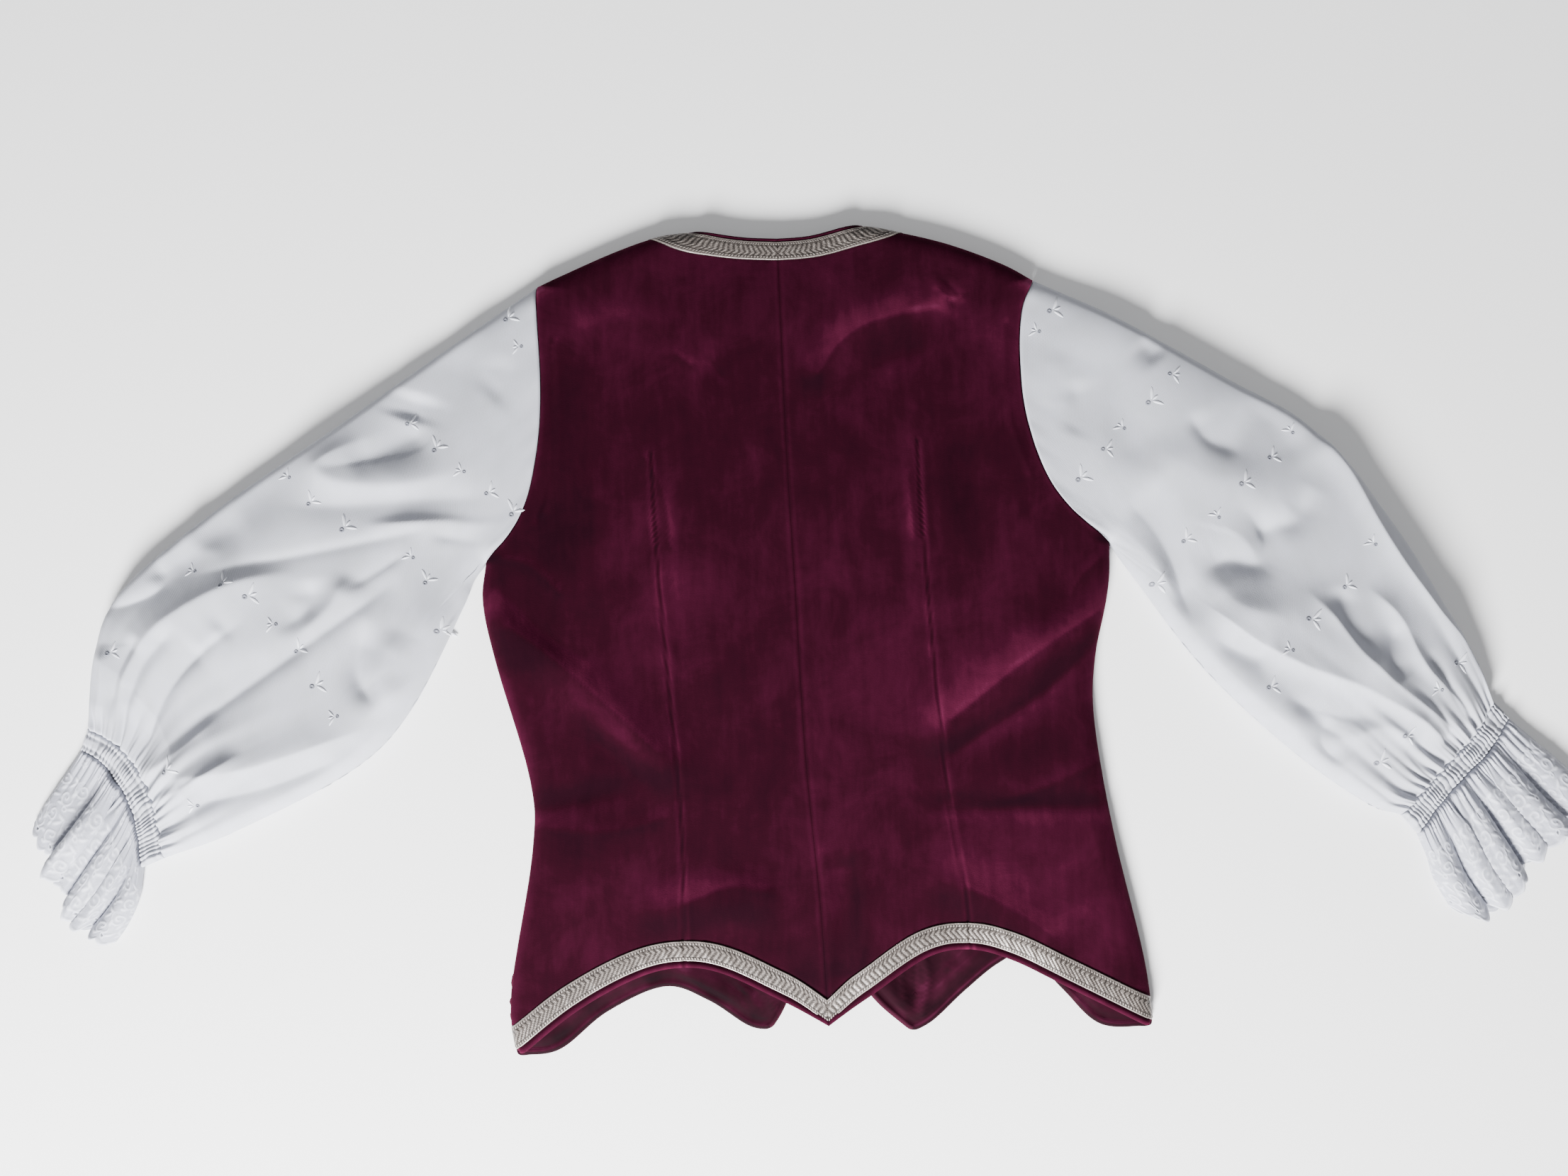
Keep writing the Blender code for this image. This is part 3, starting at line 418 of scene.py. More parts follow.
# Sleeves. Their rounding at the seams is in millimetres inwards from them.
COTTON_SHOWN = 0.5
SLEEVE_LOFT = [(0, 16), (0.15, 21.5), (0.4, 23), (0.7, 25), (0.88, 21), (1, 9)]  # share of the way, height
SLEEVE_EDGE = 4.0
SLEEVE_BELLY = 0.125  # power of the curve from a sleeve's sides down to the table
UNDERARM_FAN = 0.7
LIP_REACH = 60.0  # how far down the sleeve the height of the armhole is felt
LIP_RISE = 1.2
SEAM_ROUND = 9.0
SLEEVE_ROUND = 60.0
FOLD_ROUND = 20.0
ROUND_SHARE = 0.45
HEAD_START = 0.4  # how far below the armhole its first row is
CUFF_SHARE = 0.76  # of the way down, from where the rows are closer
POINTS_ABOVE = 200
POINTS_BELOW = 44
BODY_ROWS = 118
CUFF_ROWS = 74
# Gathers that run out of an edge: how many, where the first is, how far they reach, how high
WRIST_GATHERS = (
    Gather(27, 0.0, 13, 2.9),
    Gather(13, 0.3, 34, 3.8),
    Gather(7, 0.65, 66, 3.8),
)
HEAD_GATHERS = (Gather(13, 0.2, 9, 0.5), Gather(6, 0.6, 26, 0.8))

# Where the embroidered sprigs are, in rows across each sleeve
SPRIGS = {
    "left": [
        (-208, 225), (-200, 203), (-282, 149), (-262, 129), (-243, 111), (-225, 95), (-208, 80), (-371, 113),
        (-354, 93), (-329, 73), (-281, 50), (-271, 32), (-263, -4), (-441, 47), (-415, 36), (-397, 26),
        (-380, 5), (-364, -14), (-351, -40), (-337, -63), (-500, -10), (-458, -96), (-440, -122),
    ],
    "right": [
        (195, 213), (183, 198), (279, 160), (262, 141), (241, 123), (227, 107), (208, 87), (365, 115),
        (348, 96), (324, 77), (304, 54), (281, 38), (258, 7), (414, 29), (392, -1), (363, -24), (346, -45),
        (333, -71), (470, -60), (452, -78), (426, -110), (408, -128),
    ],
}
SPRIG_TURN = {"left": 0.62, "right": 0.25}  # radians
SPRIG_SIZES = (1.0, 0.7, 0.85)  # large and small sprigs take turns
LEAVES = (Leaf(1.2, 0.75, 9.5, 2.5, 1.6), Leaf(1.2, -0.75, 8.5, 2.4, -1.3), Leaf(1.8, 0.05, 5.0, 1.9, 0.4))
LEAF_RISE = 0.6
# Rings of an eyelet from its hole outwards
EYELET_RING = (Ring(0.6, 0.05), Ring(0.75, 0.3), Ring(1.2, 0.5), Ring(1.7, 0.3), Ring(2.1, -0.2))
EYELET_PLACE = 2.3  # behind the middle of its sprig

# Wrist bands
BAND_TOP = 8.6
BAND_EDGE = 4.0
BAND_ROWS = 21
BAND_BELOW = 160  # points under the band, and over each of its ribs
RIB_POINTS = 8
BAND_TUCK = 4.6  # height that the sleeve, the band and the frill turn down to where they meet
TUCK_ROUND = 3.0  # how far from the band the sleeve and the frill turn down to it
TUCK_SHARE = 0.2  # of the band's width, over which it turns down itself
GATHERS = 34
RIB_RISE = 2.8
RIB_WANDER = 0.004
RIB_OVER_TUCK = 1.6
STITCH_ROWS = (0.24, 0.76)
STITCH_WIDE = 0.08
HELD_RIBS = 1.2  # how far the stitching holds down the ribs, and the band with them
HELD_BAND = 0.5
TUBE_CROWN = 0.8  # powers of the curves of a flattened tube, above and below
TUBE_BELLY = 0.4
LOWEST = 0.2  # least height of cotton above the table

# Frills
FRILL_EDGE = 2.6
FRILL_LOFT = [(0, 6.5), (0.3, 4.6), (1, 3.4)]
SCALLOPS = 10
SCALLOP_DEPTH = 0.05
FRILL_ABOVE = 270  # points over the upper face, under the lower one, and rows from band to hem
FRILL_BELOW = 121
FRILL_ROWS = 110
FRILL_RIBS = (Ridge(0, 0.12, 2.2, 1.4),)
FRILL_FOLDS = (Ridge(0.13, 0.2, 1.6),)
LOBE_ROUND = 6.5  # millimetres that the hem curves back between two tubes
LOBE_GAP = 0.04  # half the width of that curve, as a share of the frill's width
# Tubes that the frill falls into below the band: from where to where across it, and how high at the hem
FRILL_TUBES = {
    "left": (
        Tube(0.0, 0.27, 4.5), Tube(0.27, 0.43, 15.0), Tube(0.43, 0.53, 6.5), Tube(0.53, 0.7, 11.0),
        Tube(0.7, 0.82, 7.0), Tube(0.82, 1.0, 9.0),
    ),
    "right": (
        Tube(0.0, 0.2, 8.0), Tube(0.2, 0.4, 12.0), Tube(0.4, 0.52, 8.5), Tube(0.52, 0.68, 12.0),
        Tube(0.68, 0.8, 8.0), Tube(0.8, 1.0, 9.0),
    ),
}
# Pleats where the frill folds back over itself: middle and half width as shares, how far it laps, how high
FRILL_PLEATS = {
    "left": (Pleat(0.44, 0.07, 0.7, 3.0), Pleat(0.71, 0.05, 0.6, 2.4)),
    "right": (Pleat(0.39, 0.05, 0.65, 2.6), Pleat(0.69, 0.05, 0.65, 2.6)),
}

# Embroidery of the frills, in repeats along the hem and rows up from it
EMBROIDERY_REPEAT = 20.0
EMBROIDERY_ROW = 30.0
FIRST_ROW = 5.0
ROW_SHIFT = 0.4
SCROLL_ROWS = 1.5
EMBROIDERY_RISE = 0.42
EYELET_DIP = 0.4
SCROLLS = (Scroll(-4.4, 15.5, 1), Scroll(4.8, 28.5, -1))
SCROLL_STEP = 4.6
SCROLL_REACH = 6.8
STROKE = 0.8
STITCHED_FROM = 3.0  # how far up from the hem the pattern starts
STITCHED_LEAVES = (
    StitchedLeaf(5.4, 11.5, 0.6, 4.2),
    StitchedLeaf(-6.0, 26.5, 0.9, 4.4),
    StitchedLeaf(-5.0, 31.5, -0.4, 3.8),
    StitchedLeaf(0.6, 22.5, 1.5, 3.6),
    StitchedLeaf(-7.6, 8.5, 0.3, 3.0),
    StitchedLeaf(8.2, 21.0, 1.2, 3.2),
)
LEAF_HALF_WIDTH = 1.4
FLOWER_UP = 16.0
FLOWER_RADIUS = 1.9
PETAL = 0.8
PETALS = 5
FRILL_EYELET = (0.4, 8.2)
EYELET_RADIUS = 1.7  # of the stitching round it
EYELET_HOLE = 1.1
RIM = (Ridge(1.2, 1.3, 1, 4),)

# The camera, in degrees, millimetres of lens and metres
CAMERA_TURN = 2.5
CAMERA_TIP = 4
CAMERA_LENS = 27.05
CAMERA_AWAY = 0.865
CAMERA_FACES = (-0.0153, 0.0294, 0.008)


# Curves and patches


def curve(points, steps=16):
    """A smooth line through the points, as rows of x and y."""
    given = np.array(points, float)
    ends = np.vstack([2 * given[0] - given[1], given, 2 * given[-1] - given[-2]])
    t = np.linspace(0, 1, steps, endpoint=False)[:, None]
    stretches = []
    for a, b, c, d in zip(ends, ends[1:], ends[2:], ends[3:]):
        bend = 2 * a - 5 * b + 4 * c - d + t * (3 * b - a - 3 * c + d)
        stretches.append(b + 0.5 * t * (c - a + t * bend))
    return np.vstack([*stretches, given[-1:]])


def lengths(line):
    return np.concatenate([[0], np.cumsum(np.linalg.norm(np.diff(line, axis=0), axis=1))])


def run(tables, stops=(0, 1)):
    """A function from a share to a point on the tables' lines end to end, each between two of the stops."""
    shares, places = [], []
    for table, start, end in zip(tables, stops, stops[1:]):
        line = curve(table)
        way = lengths(line)
        shares.append(start + (end - start) * way / way[-1])
        places.append(line)
    shares, places = np.concatenate(shares), np.vstack(places)

    def point(share):
        return np.stack([np.interp(share, shares, places[:, axis]) for axis in (0, 1)], -1)

    return point


def patch(near, far, top, bottom):
    """A function that fills four edges: u goes from the near edge to the far one, v from top to bottom."""

    def fill(u, v):
        u, v = np.broadcast_arrays(np.asarray(u, float), np.asarray(v, float))
        wide, high = u[..., None], v[..., None]
        edges = (1 - wide) * near(v) + wide * far(v) + (1 - high) * top(u) + high * bottom(u)
        corners_above = (1 - high) * ((1 - wide) * top(0.0) + wide * top(1.0))
        corners_below = high * ((1 - wide) * bottom(0.0) + wide * bottom(1.0))
        return edges - corners_above - corners_below

    return fill


def square_shares(fill, places, widths, from_end):
    """Shares of the lines at these places at which they are so far from the edge, measured square to it."""
    ways = np.linspace(0, 1, 241)
    if from_end:
        ways = ways[::-1]
    shares = np.empty((len(widths), len(places)))
    for n, place in enumerate(places):
        line = fill(place, ways)
        edge = fill(min(place + 0.002, 1), ways[0]) - fill(max(place - 0.002, 0), ways[0])
        inward = line[1] - line[0]
        size = np.linalg.norm(edge) * np.linalg.norm(inward)
        squareness = abs(edge[0] * inward[1] - edge[1] * inward[0]) / size
        stretch = 1 / max(squareness, 1 / MITRE_LIMIT)
        shares[:, n] = np.interp(widths[:, n] * stretch, lengths(line), ways)
    half = min(EVENED, len(places) // 8)
    window = np.ones(2 * half + 1) / (2 * half + 1)
    padded = np.pad(shares, ((0, 0), (half, half)), mode="reflect", reflect_type="odd")
    return np.array([np.convolve(row, window, "valid") for row in padded])


def away_from(line, x, y):
    """Distance of each place from a line of points."""
    nearest = np.full(np.shape(x), np.inf)
    for start, step in zip(line, np.diff(line, axis=0)):
        dx, dy = x - start[0], y - start[1]
        share = np.clip((dx * step[0] + dy * step[1]) / max(step @ step, 1e-9), 0, 1)
        nearest = np.minimum(nearest, (dx - share * step[0]) ** 2 + (dy - share * step[1]) ** 2)
    return np.sqrt(nearest)


def beside(line, x, y):
    """Distance of places from a line, 1 to its left or -1 to its right, and the share of its way."""
    start, step = line[:-1], np.diff(line, axis=0)
    place = np.stack([x, y], -1)[..., None, :] - start
    share = np.clip((place * step).sum(-1) / np.maximum((step**2).sum(-1), 1e-9), 0, 1)
    offset = place - share[..., None] * step
    away = np.linalg.norm(offset, axis=-1)
    side = np.sign(step[:, 0] * offset[..., 1] - step[:, 1] * offset[..., 0])
    way = (np.arange(len(step)) + share) / len(step)
    nearest = away.argmin(-1)[..., None]
    return [np.take_along_axis(values, nearest, -1)[..., 0] for values in (away, side, way)]


def eased(share):
    """A share that starts and ends softly, kept between 0 and 1."""
    share = np.clip(share, 0, 1)
    return share * share * (3 - 2 * share)


def rounded(away, reach):
    """0 on an edge and 1 from this far inside it, round in section."""
    return np.sqrt(1 - (1 - np.clip(away / reach, 0, 1)) ** 2)


def belly_of(share):
    """1 in the middle of a tube's face and 0 at both its sides."""
    return np.clip(4 * share * (1 - share), 0, 1)


def ridges(away, shapes):
    """Height, or shade, of soft ridges that run along an edge."""
    total = 0
    for shape in shapes:
        total = total + shape.height * np.exp(-((np.abs(away - shape.middle) / shape.width) ** shape.power))
    return total


def relief(folds, x, y):
    """Height that the folds add at each place. A leaning fold is wider on one side of its crest."""
    total = np.zeros(np.shape(x))
    for fold in folds:
        line = curve(fold.path, 5)
        (left, low), (right, high) = line.min(0) - 3 * fold.width, line.max(0) + 3 * fold.width
        near = (x > left) & (x < right) & (y > low) & (y < high)
        away, side, way = beside(line, x[near], y[near])
        height = fold.height * np.exp(-((away / (fold.width * (1 + fold.lean * side))) ** fold.power))
        if fold.taper:
            height *= eased(np.minimum(way, 1 - way) / fold.taper)
        total[near] += height
    return total


def corner_rounded(plan, one, other, radius):
    """The plan with a corner between two edges rounded: what lies outside the round is drawn in to it."""
    corner = np.array(one[-1], float)
    second = -3 if other[-1] == one[-1] else 2
    ways = [curve(one)[-3] - corner, curve(other)[second] - corner]
    ways = [way / np.linalg.norm(way) for way in ways]
    inward = sum(ways) / np.linalg.norm(sum(ways))
    half = math.acos(ways[0] @ inward)
    centre = corner + inward * radius / math.sin(half)
    outwards = [(corner + way * ((centre - corner) @ way) - centre) / radius for way in ways]
    offset = plan - centre
    away = np.maximum(np.linalg.norm(offset, axis=-1), 1e-6)
    reach = np.maximum(offset @ outwards[0], offset @ outwards[1])
    scale = np.where(offset @ -inward > away * math.sin(half), reach / away, 1)
    return centre + offset * scale[..., None]


def seam_rise(x, y):
    """0 on the outer edges of the laid garment and 1 away from them, round in section."""
    tables = (SHOULDER, SIDE_SEAM, SLEEVE_UPPER, SLEEVE_LOWER)
    nearest = np.min([away_from(curve(table[side], 5), x, y) for table in tables for side in SIDES], axis=0)
    return rounded(nearest, SEAM_ROLL)


def back_under(x, y):
    """Height of the back's underside: low at the garment's outer edges, lofted between them."""
    return SEAM_HEIGHT + seam_rise(x, y) * (BACK_LOFT - SEAM_HEIGHT + relief(BACK_FOLDS, x, y))


def turned_down(away):
    """How far a velvet edge of a bagged-out panel curves down, by distance from that edge."""
    inside = np.clip(away, 0, ROLL)
    return ROLL - np.sqrt(ROLL**2 - (ROLL - inside) ** 2)


def loft_at(table, share):
    return np.interp(share, *np.array(table).T)


def spread(length, step):
    """Shares of an edge, closer together at both its ends."""
    ends = EDGE_STEPS / length
    middle = np.linspace(ends[-1], 1 - ends[-1], int(length / step))
    return np.concatenate([ends[:-1], middle, 1 - ends[-2::-1]])


# Meshes


def standing(plan, height):
    """Points at their heights over their places on the table."""
    return np.concatenate([plan, height[..., None]], axis=2)


def grid_mesh(points, flat, closed=False):
    """A grid through the points, with their places in the flat cut as its UV map, in metres."""
    rows, columns = points.shape[:2]
    mesh = bmesh.new()
    bmesh.ops.create_grid(mesh, x_segments=columns - 1, y_segments=rows - 1, size=1)
    row, column = mesh.verts.layers.int.new("row"), mesh.verts.layers.int.new("column")
    cut = mesh.loops.layers.uv.new("cut")
    for vert in mesh.verts:
        vert[row] = round((vert.co.y + 1) / 2 * (rows - 1))
        vert[column] = round((vert.co.x + 1) / 2 * (columns - 1))
    for face in mesh.faces:
        face.smooth = True
        for loop in face.loops:
            loop[cut].uv = flat[loop.vert[row], loop.vert[column]]
    for vert in mesh.verts:
        vert.co = points[vert[row], vert[column]]
    if closed:
        bmesh.ops.remove_doubles(mesh, verts=mesh.verts[:], dist=1e-6)
    return mesh


def world(points):
    return (points + (LAY_X, LAY_Y, 0)) * MM


def flat_lengths(points):
    """Places in the flat cut, from lengths measured over the cloth itself, in metres."""
    across = np.linalg.norm(np.diff(points, axis=1), axis=2)
    down = np.linalg.norm(np.diff(points, axis=0), axis=2)
    u = np.concatenate([np.zeros((len(points), 1)), np.cumsum(across, axis=1)], axis=1)
    v = np.concatenate([[0], np.cumsum(down.mean(axis=1))])
    return np.stack([u, np.broadcast_to(v[:, None], u.shape)], -1)


def cloth_mesh(points, closed=False):
    return grid_mesh(world(points), flat_lengths(points) * MM, closed)


def made(name, mesh, materials):
    """A piece of the garment from its mesh."""
    data = bpy.data.meshes.new(name)
    mesh.to_mesh(data)
    mesh.free()
    for material in materials:
        data.materials.append(material)
    piece = bpy.data.objects.new(name, data)
    bpy.context.scene.collection.objects.link(piece)
    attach(piece, "root")
    return piece


def sewn(name, mesh, materials, wall, replaced, lining=0):
    """A piece of cloth with its wall, in place of a plain one, and the number of its lining's material."""
    piece = made(name, mesh, materials)
    solidify = piece.modifiers.new("wall", "SOLIDIFY")
    solidify.thickness = wall * MM
    solidify.offset = -1
    solidify.material_offset = lining
    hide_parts(replaced)
    return piece


def paint(mesh, name, values):
    """A value at each point of the grid, for the material to read."""
    layer = mesh.verts.layers.float.new(name)
    row, column = mesh.verts.layers.int["row"], mesh.verts.layers.int["column"]
    for vert in mesh.verts:
        vert[layer] = values[vert[row], vert[column]]


def face_up(mesh):
    """Turns an open sheet's faces upwards."""
    mesh.normal_update()
    if sum(face.normal.z * face.calc_area() for face in mesh.faces) < 0:
        bmesh.ops.reverse_faces(mesh, faces=mesh.faces[:])


def top_faces_up(mesh):
    """Turns a tube's faces outwards, judged by the faces that show from above."""
    mesh.normal_update()
    high = max(mesh.faces, key=lambda face: face.calc_center_median().z)
    if high.normal.z < 0:
        bmesh.ops.reverse_faces(mesh, faces=mesh.faces[:])


# Finishes


def linear(hex_colour):
    """An sRGB hex colour as the linear values that a shader takes."""
    parts = [int(hex_colour[n : n + 2], 16) / 255 for n in (1, 3, 5)]
    return [c / 12.92 if c <= 0.04045 else ((c + 0.055) / 1.055) ** 2.4 for c in parts] + [1]


def feed(node, **inputs):
    """Sets or links a node's inputs, by their names with _ for a space, or by number as n0, n1 and so on."""
    for key, value in inputs.items():
        numbered = key[0] == "n" and key[1:].isdigit()
        socket = node.inputs[int(key[1:]) if numbered else key.replace("_", " ")]
        if isinstance(value, bpy.types.NodeSocket):
            node.id_data.links.new(value, socket)
        else:
            socket.default_value = value
    return node


def add(material, kind, settings=None, **inputs):
    """A node with its settings, and its inputs set or linked by name."""
    node = material.node_tree.nodes.new(kind)
    for key, value in (settings or {}).items():
        setattr(node, key, value)
    return feed(node, **inputs)


def finish_material(name):
    material = bpy.data.materials.new(name)
    material.use_nodes = True
    return material, material.node_tree.nodes["Principled BSDF"]


def ramp(node, stops):
    """The colour that a ramp with these places and sRGB colours gives."""
    elements = node.color_ramp.elements
    while len(elements) < len(stops):
        elements.new(0.5)
    for element, (place, colour) in zip(elements, stops):
        element.position = place
        element.color = linear(colour)
    return node.outputs["Color"]


def cotton_velvet():
    """Cotton velvet, cut pile, dyed wine: its tone varies with pressed and stroked pile, and carries painted
    shade and highlights on slopes, creases and edges.
    """
    material, shader = finish_material("cotton_velvet_cut_pile")
    place = add(material, "ShaderNodeTexCoord").outputs["Object"]
    noise = "ShaderNodeTexNoise"
    brushed_over = add(material, noise, Vector=place, Scale=22, Detail=8, Roughness=0.66, Distortion=0.4)
    # streaks where the nap was stroked down the garment, 7 mm wide and 5 times as long
    down = add(material, "ShaderNodeMapping", Vector=place, Scale=(1, 0.2, 1)).outputs["Vector"]
    streaks = add(material, noise, Vector=down, Scale=140, Detail=4, Roughness=0.6)
    # pressed pile marks together with painted shade and highlights on slopes, creases and edges
    pile_and_painted_shade = add(material, "ShaderNodeAttribute", {"attribute_name": "pile_and_painted_shade"}).outputs["Fac"]
    sums = {"operation": "MULTIPLY_ADD"}
    streaked = add(material, "ShaderNodeMath", sums, n0=streaks.outputs["Fac"], n1=0.18, n2=pile_and_painted_shade)
    evened = add(material, "ShaderNodeMath", sums, n0=brushed_over.outputs["Fac"], n1=0.42, n2=0.18)
    shade = add(material, "ShaderNodeMath", n0=evened.outputs["Value"], n1=streaked.outputs["Value"])
    colour = ramp(
        add(material, "ShaderNodeValToRGB", Fac=shade.outputs["Value"]),
        [
            (0.15, "#12030a"),
            (0.34, "#19040d"),
            (0.48, "#220511"),
            (0.62, "#30091b"),
            (0.8, "#4a152c"),
            (1, "#6c2a48"),
        ],
    )
    # pile tufts are 0.3 mm apart, drawn at 0.9 mm to show
    tufts = add(material, noise, Vector=place, Scale=1100, Detail=2)
    bump = add(material, "ShaderNodeBump", Strength=0.25, Distance=0.0004, Height=tufts.outputs["Fac"])
    feed(shader, Base_Color=colour, Normal=bump.outputs["Normal"], Roughness=0.9, Specular_IOR_Level=0.02)
    feed(shader, Sheen_Weight=0.12, Sheen_Roughness=0.35, Sheen_Tint=linear("#a02c54"))
    return material


def sateen_lining():
    """Cotton sateen lining, woven and dyed to match: smooth, rumpled, with a faint even gloss."""
    material, shader = finish_material("cotton_sateen_lining_woven")
    place = add(material, "ShaderNodeTexCoord").outputs["Object"]
    rumpled = add(material, "ShaderNodeTexNoise", Vector=place, Scale=45, Detail=5)
    # painted shade and highlights from the front's slopes and hem, with the pile marks of the velvet table
    pile_and_painted_shade = add(material, "ShaderNodeAttribute", {"attribute_name": "pile_and_painted_shade"}).outputs["Fac"]
    shade = add(material, "ShaderNodeMath", n0=rumpled.outputs["Fac"], n1=pile_and_painted_shade)
    colour = ramp(
        add(material, "ShaderNodeValToRGB", Fac=shade.outputs["Value"]),
        [(0.2, "#0f0308"), (0.5, "#1e0610"), (0.75, "#2e0b1b"), (1, "#46182e")],
    )
    feed(shader, Base_Color=colour, Roughness=0.75, Specular_IOR_Level=0.03)
    feed(shader, Sheen_Weight=0.12, Sheen_Tint=linear("#a02c54"))
    return material


def cotton_lawn():
    """Cotton lawn, plain woven and washed white: matt, soft and slightly cool."""
    material, shader = finish_material("cotton_lawn_plain_woven")
    cut = add(material, "ShaderNodeUVMap", {"uv_map": "cut"}).outputs["UV"]
    # threads are 0.3 mm apart, drawn at 1 mm to show
    threads = []
    for way in ("X", "Y"):
        bands = {"bands_direction": way}
        thread = add(material, "ShaderNodeTexWave", bands, Vector=cut, Scale=300, Distortion=1.2, Detail=2)
        threads.append(thread.outputs["Fac"])
    weave = add(material, "ShaderNodeMath", {"operation": "MULTIPLY"}, n0=threads[0], n1=threads[1])
    worn = add(material, "ShaderNodeTexNoise", Vector=cut, Scale=40, Detail=6, Roughness=0.6).outputs["Fac"]
    sums = {"operation": "MULTIPLY_ADD"}
    height = add(material, "ShaderNodeMath", sums, n0=worn, n1=2.2, n2=weave.outputs["Value"])
    bump = add(material, "ShaderNodeBump", Strength=0.3, Distance=0.0004, Height=height.outputs["Value"])
    colour = ramp(add(material, "ShaderNodeValToRGB", Fac=worn), [(0.3, "#a9abb3"), (0.7, "#b2b4be")])
    feed(shader, Base_Color=colour, Normal=bump.outputs["Normal"], Roughness=0.85, Sheen_Weight=0.1)
    return material


def embroidered_cotton():
    """Cotton lawn worked over in white thread: matt ground, silky raised stitches that are whiter from the
    thread's own white and a painted sheen, and painted shade in the eyelet holes.
    """
    material, shader = finish_material("cotton_lawn_white_embroidered")
    raised = add(material, "ShaderNodeAttribute", {"attribute_name": "raised"}).outputs["Fac"]
    spot = add(material, "ShaderNodeMath", {"operation": "MULTIPLY_ADD"}, n0=raised, n1=0.5, n2=0.5)
    # painted shade in the eyelet holes at the dark end; the whiter raised stitches are partly painted sheen
    colour = ramp(
        add(material, "ShaderNodeValToRGB", Fac=spot.outputs["Value"]),
        [(0.0, "#5b5d65"), (0.45, "#9fa1ad"), (0.6, "#a9abb6"), (1.0, "#c4c6d0")],
    )
    cut = add(material, "ShaderNodeUVMap", {"uv_map": "cut"}).outputs["UV"]
    # threads of the ground are 0.3 mm apart, drawn at 1 mm to show
    weave = add(material, "ShaderNodeTexNoise", Vector=cut, Scale=900, Detail=2)
    bump = add(material, "ShaderNodeBump", Strength=0.3, Distance=0.0004, Height=weave.outputs["Fac"])
    feed(shader, Base_Color=colour, Normal=bump.outputs["Normal"], Roughness=0.6, Sheen_Weight=0.15)
    return material


def satin_stitch():
    """Embroidery cotton, mercerised and worked in satin stitch: whiter than the lawn, with a silky gloss."""
    material, shader = finish_material("embroidery_cotton_satin_stitch")
    feed(shader, Base_Color=linear("#ced0d8"), Roughness=0.45, Sheen_Weight=0.3)
    return material


def eyelet_shade():
    """A disc of painted shade inside an eyelet: the same cotton, grey for want of light."""
    material, shader = finish_material("cotton_in_painted_eyelet_shade")
    feed(shader, Base_Color=linear("#74767f"), Roughness=0.9)
    return material


def woven_braid():
    """Rayon and metal-thread braid, loom woven: silver grey, with painted glints on each strand and painted
    shade between the strands.
    """
    material, shader = finish_material("silver_braid_loom_woven")
    raised = add(material, "ShaderNodeAttribute", {"attribute_name": "raised"}).outputs["Fac"]
    place = add(material, "ShaderNodeTexCoord").outputs["Object"]
    # metal threads are 0.2 mm wide, drawn as painted glints 0.7 mm apart to show
    painted_glints = add(material, "ShaderNodeTexNoise", Vector=place, Scale=1500, Detail=3, Roughness=0.7)
    sums = {"operation": "MULTIPLY_ADD"}
    sharper = add(material, "ShaderNodeMath", sums, n0=painted_glints.outputs["Fac"], n1=1.1, n2=-0.62)
    # raised strands painted lighter and the gaps between them painted with shade
    shade = add(material, "ShaderNodeMath", sums, n0=raised, n1=0.9, n2=sharper.outputs["Value"])
    colour = ramp(
        add(material, "ShaderNodeValToRGB", Fac=shade.outputs["Value"]),
        [(0, "#211d1b"), (0.28, "#544d49"), (0.6, "#988f89"), (1, "#e6e1da")],
    )
    feed(shader, Base_Color=colour, Metallic=0.3, Roughness=0.4)
    return material


def paper_floor():
    """Matt white paper, rolled: even and without gloss."""
    material, shader = finish_material("background_paper_matt")
    feed(shader, Base_Color=linear("#fcfcfc"), Roughness=0.95)
    return material


VELVET = cotton_velvet()
LINING = sateen_lining()
COTTON = cotton_lawn()
STITCH = satin_stitch()
PAINTED_EYELET_SHADE = eyelet_shade()
BRAID = woven_braid()
FRILL_COTTON = embroidered_cotton()


# The velvet panels


def pile_and_painted_shade_at(x, y):
    """How much lighter or darker each place is: pressed and stroked pile, with painted shade and highlights
    along creases and over broad parts.
    """
    total = np.zeros(np.shape(x))
    for mark in PILE_AND_PAINTED_SHADE:
        turn = math.radians(mark.turn)
        dx, dy = x - mark.place[0], y - mark.place[1]
        across = (dx * math.cos(turn) + dy * math.sin(turn)) / mark.reach[0]
        along = (dy * math.cos(turn) - dx * math.sin(turn)) / mark.reach[1]
        total += PILE_AND_SHADE_DEPTH * mark.shade * np.exp(-((across**2 + along**2) ** PILE_AND_SHADE_POWER))
    return total


def painted_slope_shade(points):
    """Painted highlight where a panel rises towards its hem, and painted shade where it falls."""
    step = np.gradient(points, axis=0)
    return PAINTED_SLOPE_SHADE * step[..., 2] / np.maximum(np.linalg.norm(step[..., :2], axis=-1), 1e-6)


def back_top(side, x, y):
    """Height of the velvet's upper face, without its turned edges."""
    creased = CREASE_AT_SEAM + (1 - CREASE_AT_SEAM) * seam_rise(x, y)
    height = back_under(x, y) + VELVET_WALL + creased * relief(BACK_CREASES, x, y)
    return height + ridges(away_from(curve(DART[side], 8), x, y), DART_RIDGES)


def outer_edge(side):
    stops = (0, SHOULDER_POINT, UNDERARM_POINT, 1)
    return run([SHOULDER[side], ARMHOLE[side], SIDE_SEAM[side]], stops)


def back_fill(side):
    return patch(run([CENTRE_BACK]), outer_edge(side), run([BACK_NECK[side]]), run([BACK_HEM[side]]))


def front_fill(side):
    inner_edge = run([FRONTS_MEET, FRONT_EDGE[side]], (0, MEETING_SHARE, 1))
    return patch(inner_edge, outer_edge(side), run([FRONT_NECK[side]]), run([FRONT_HEM[side]]))


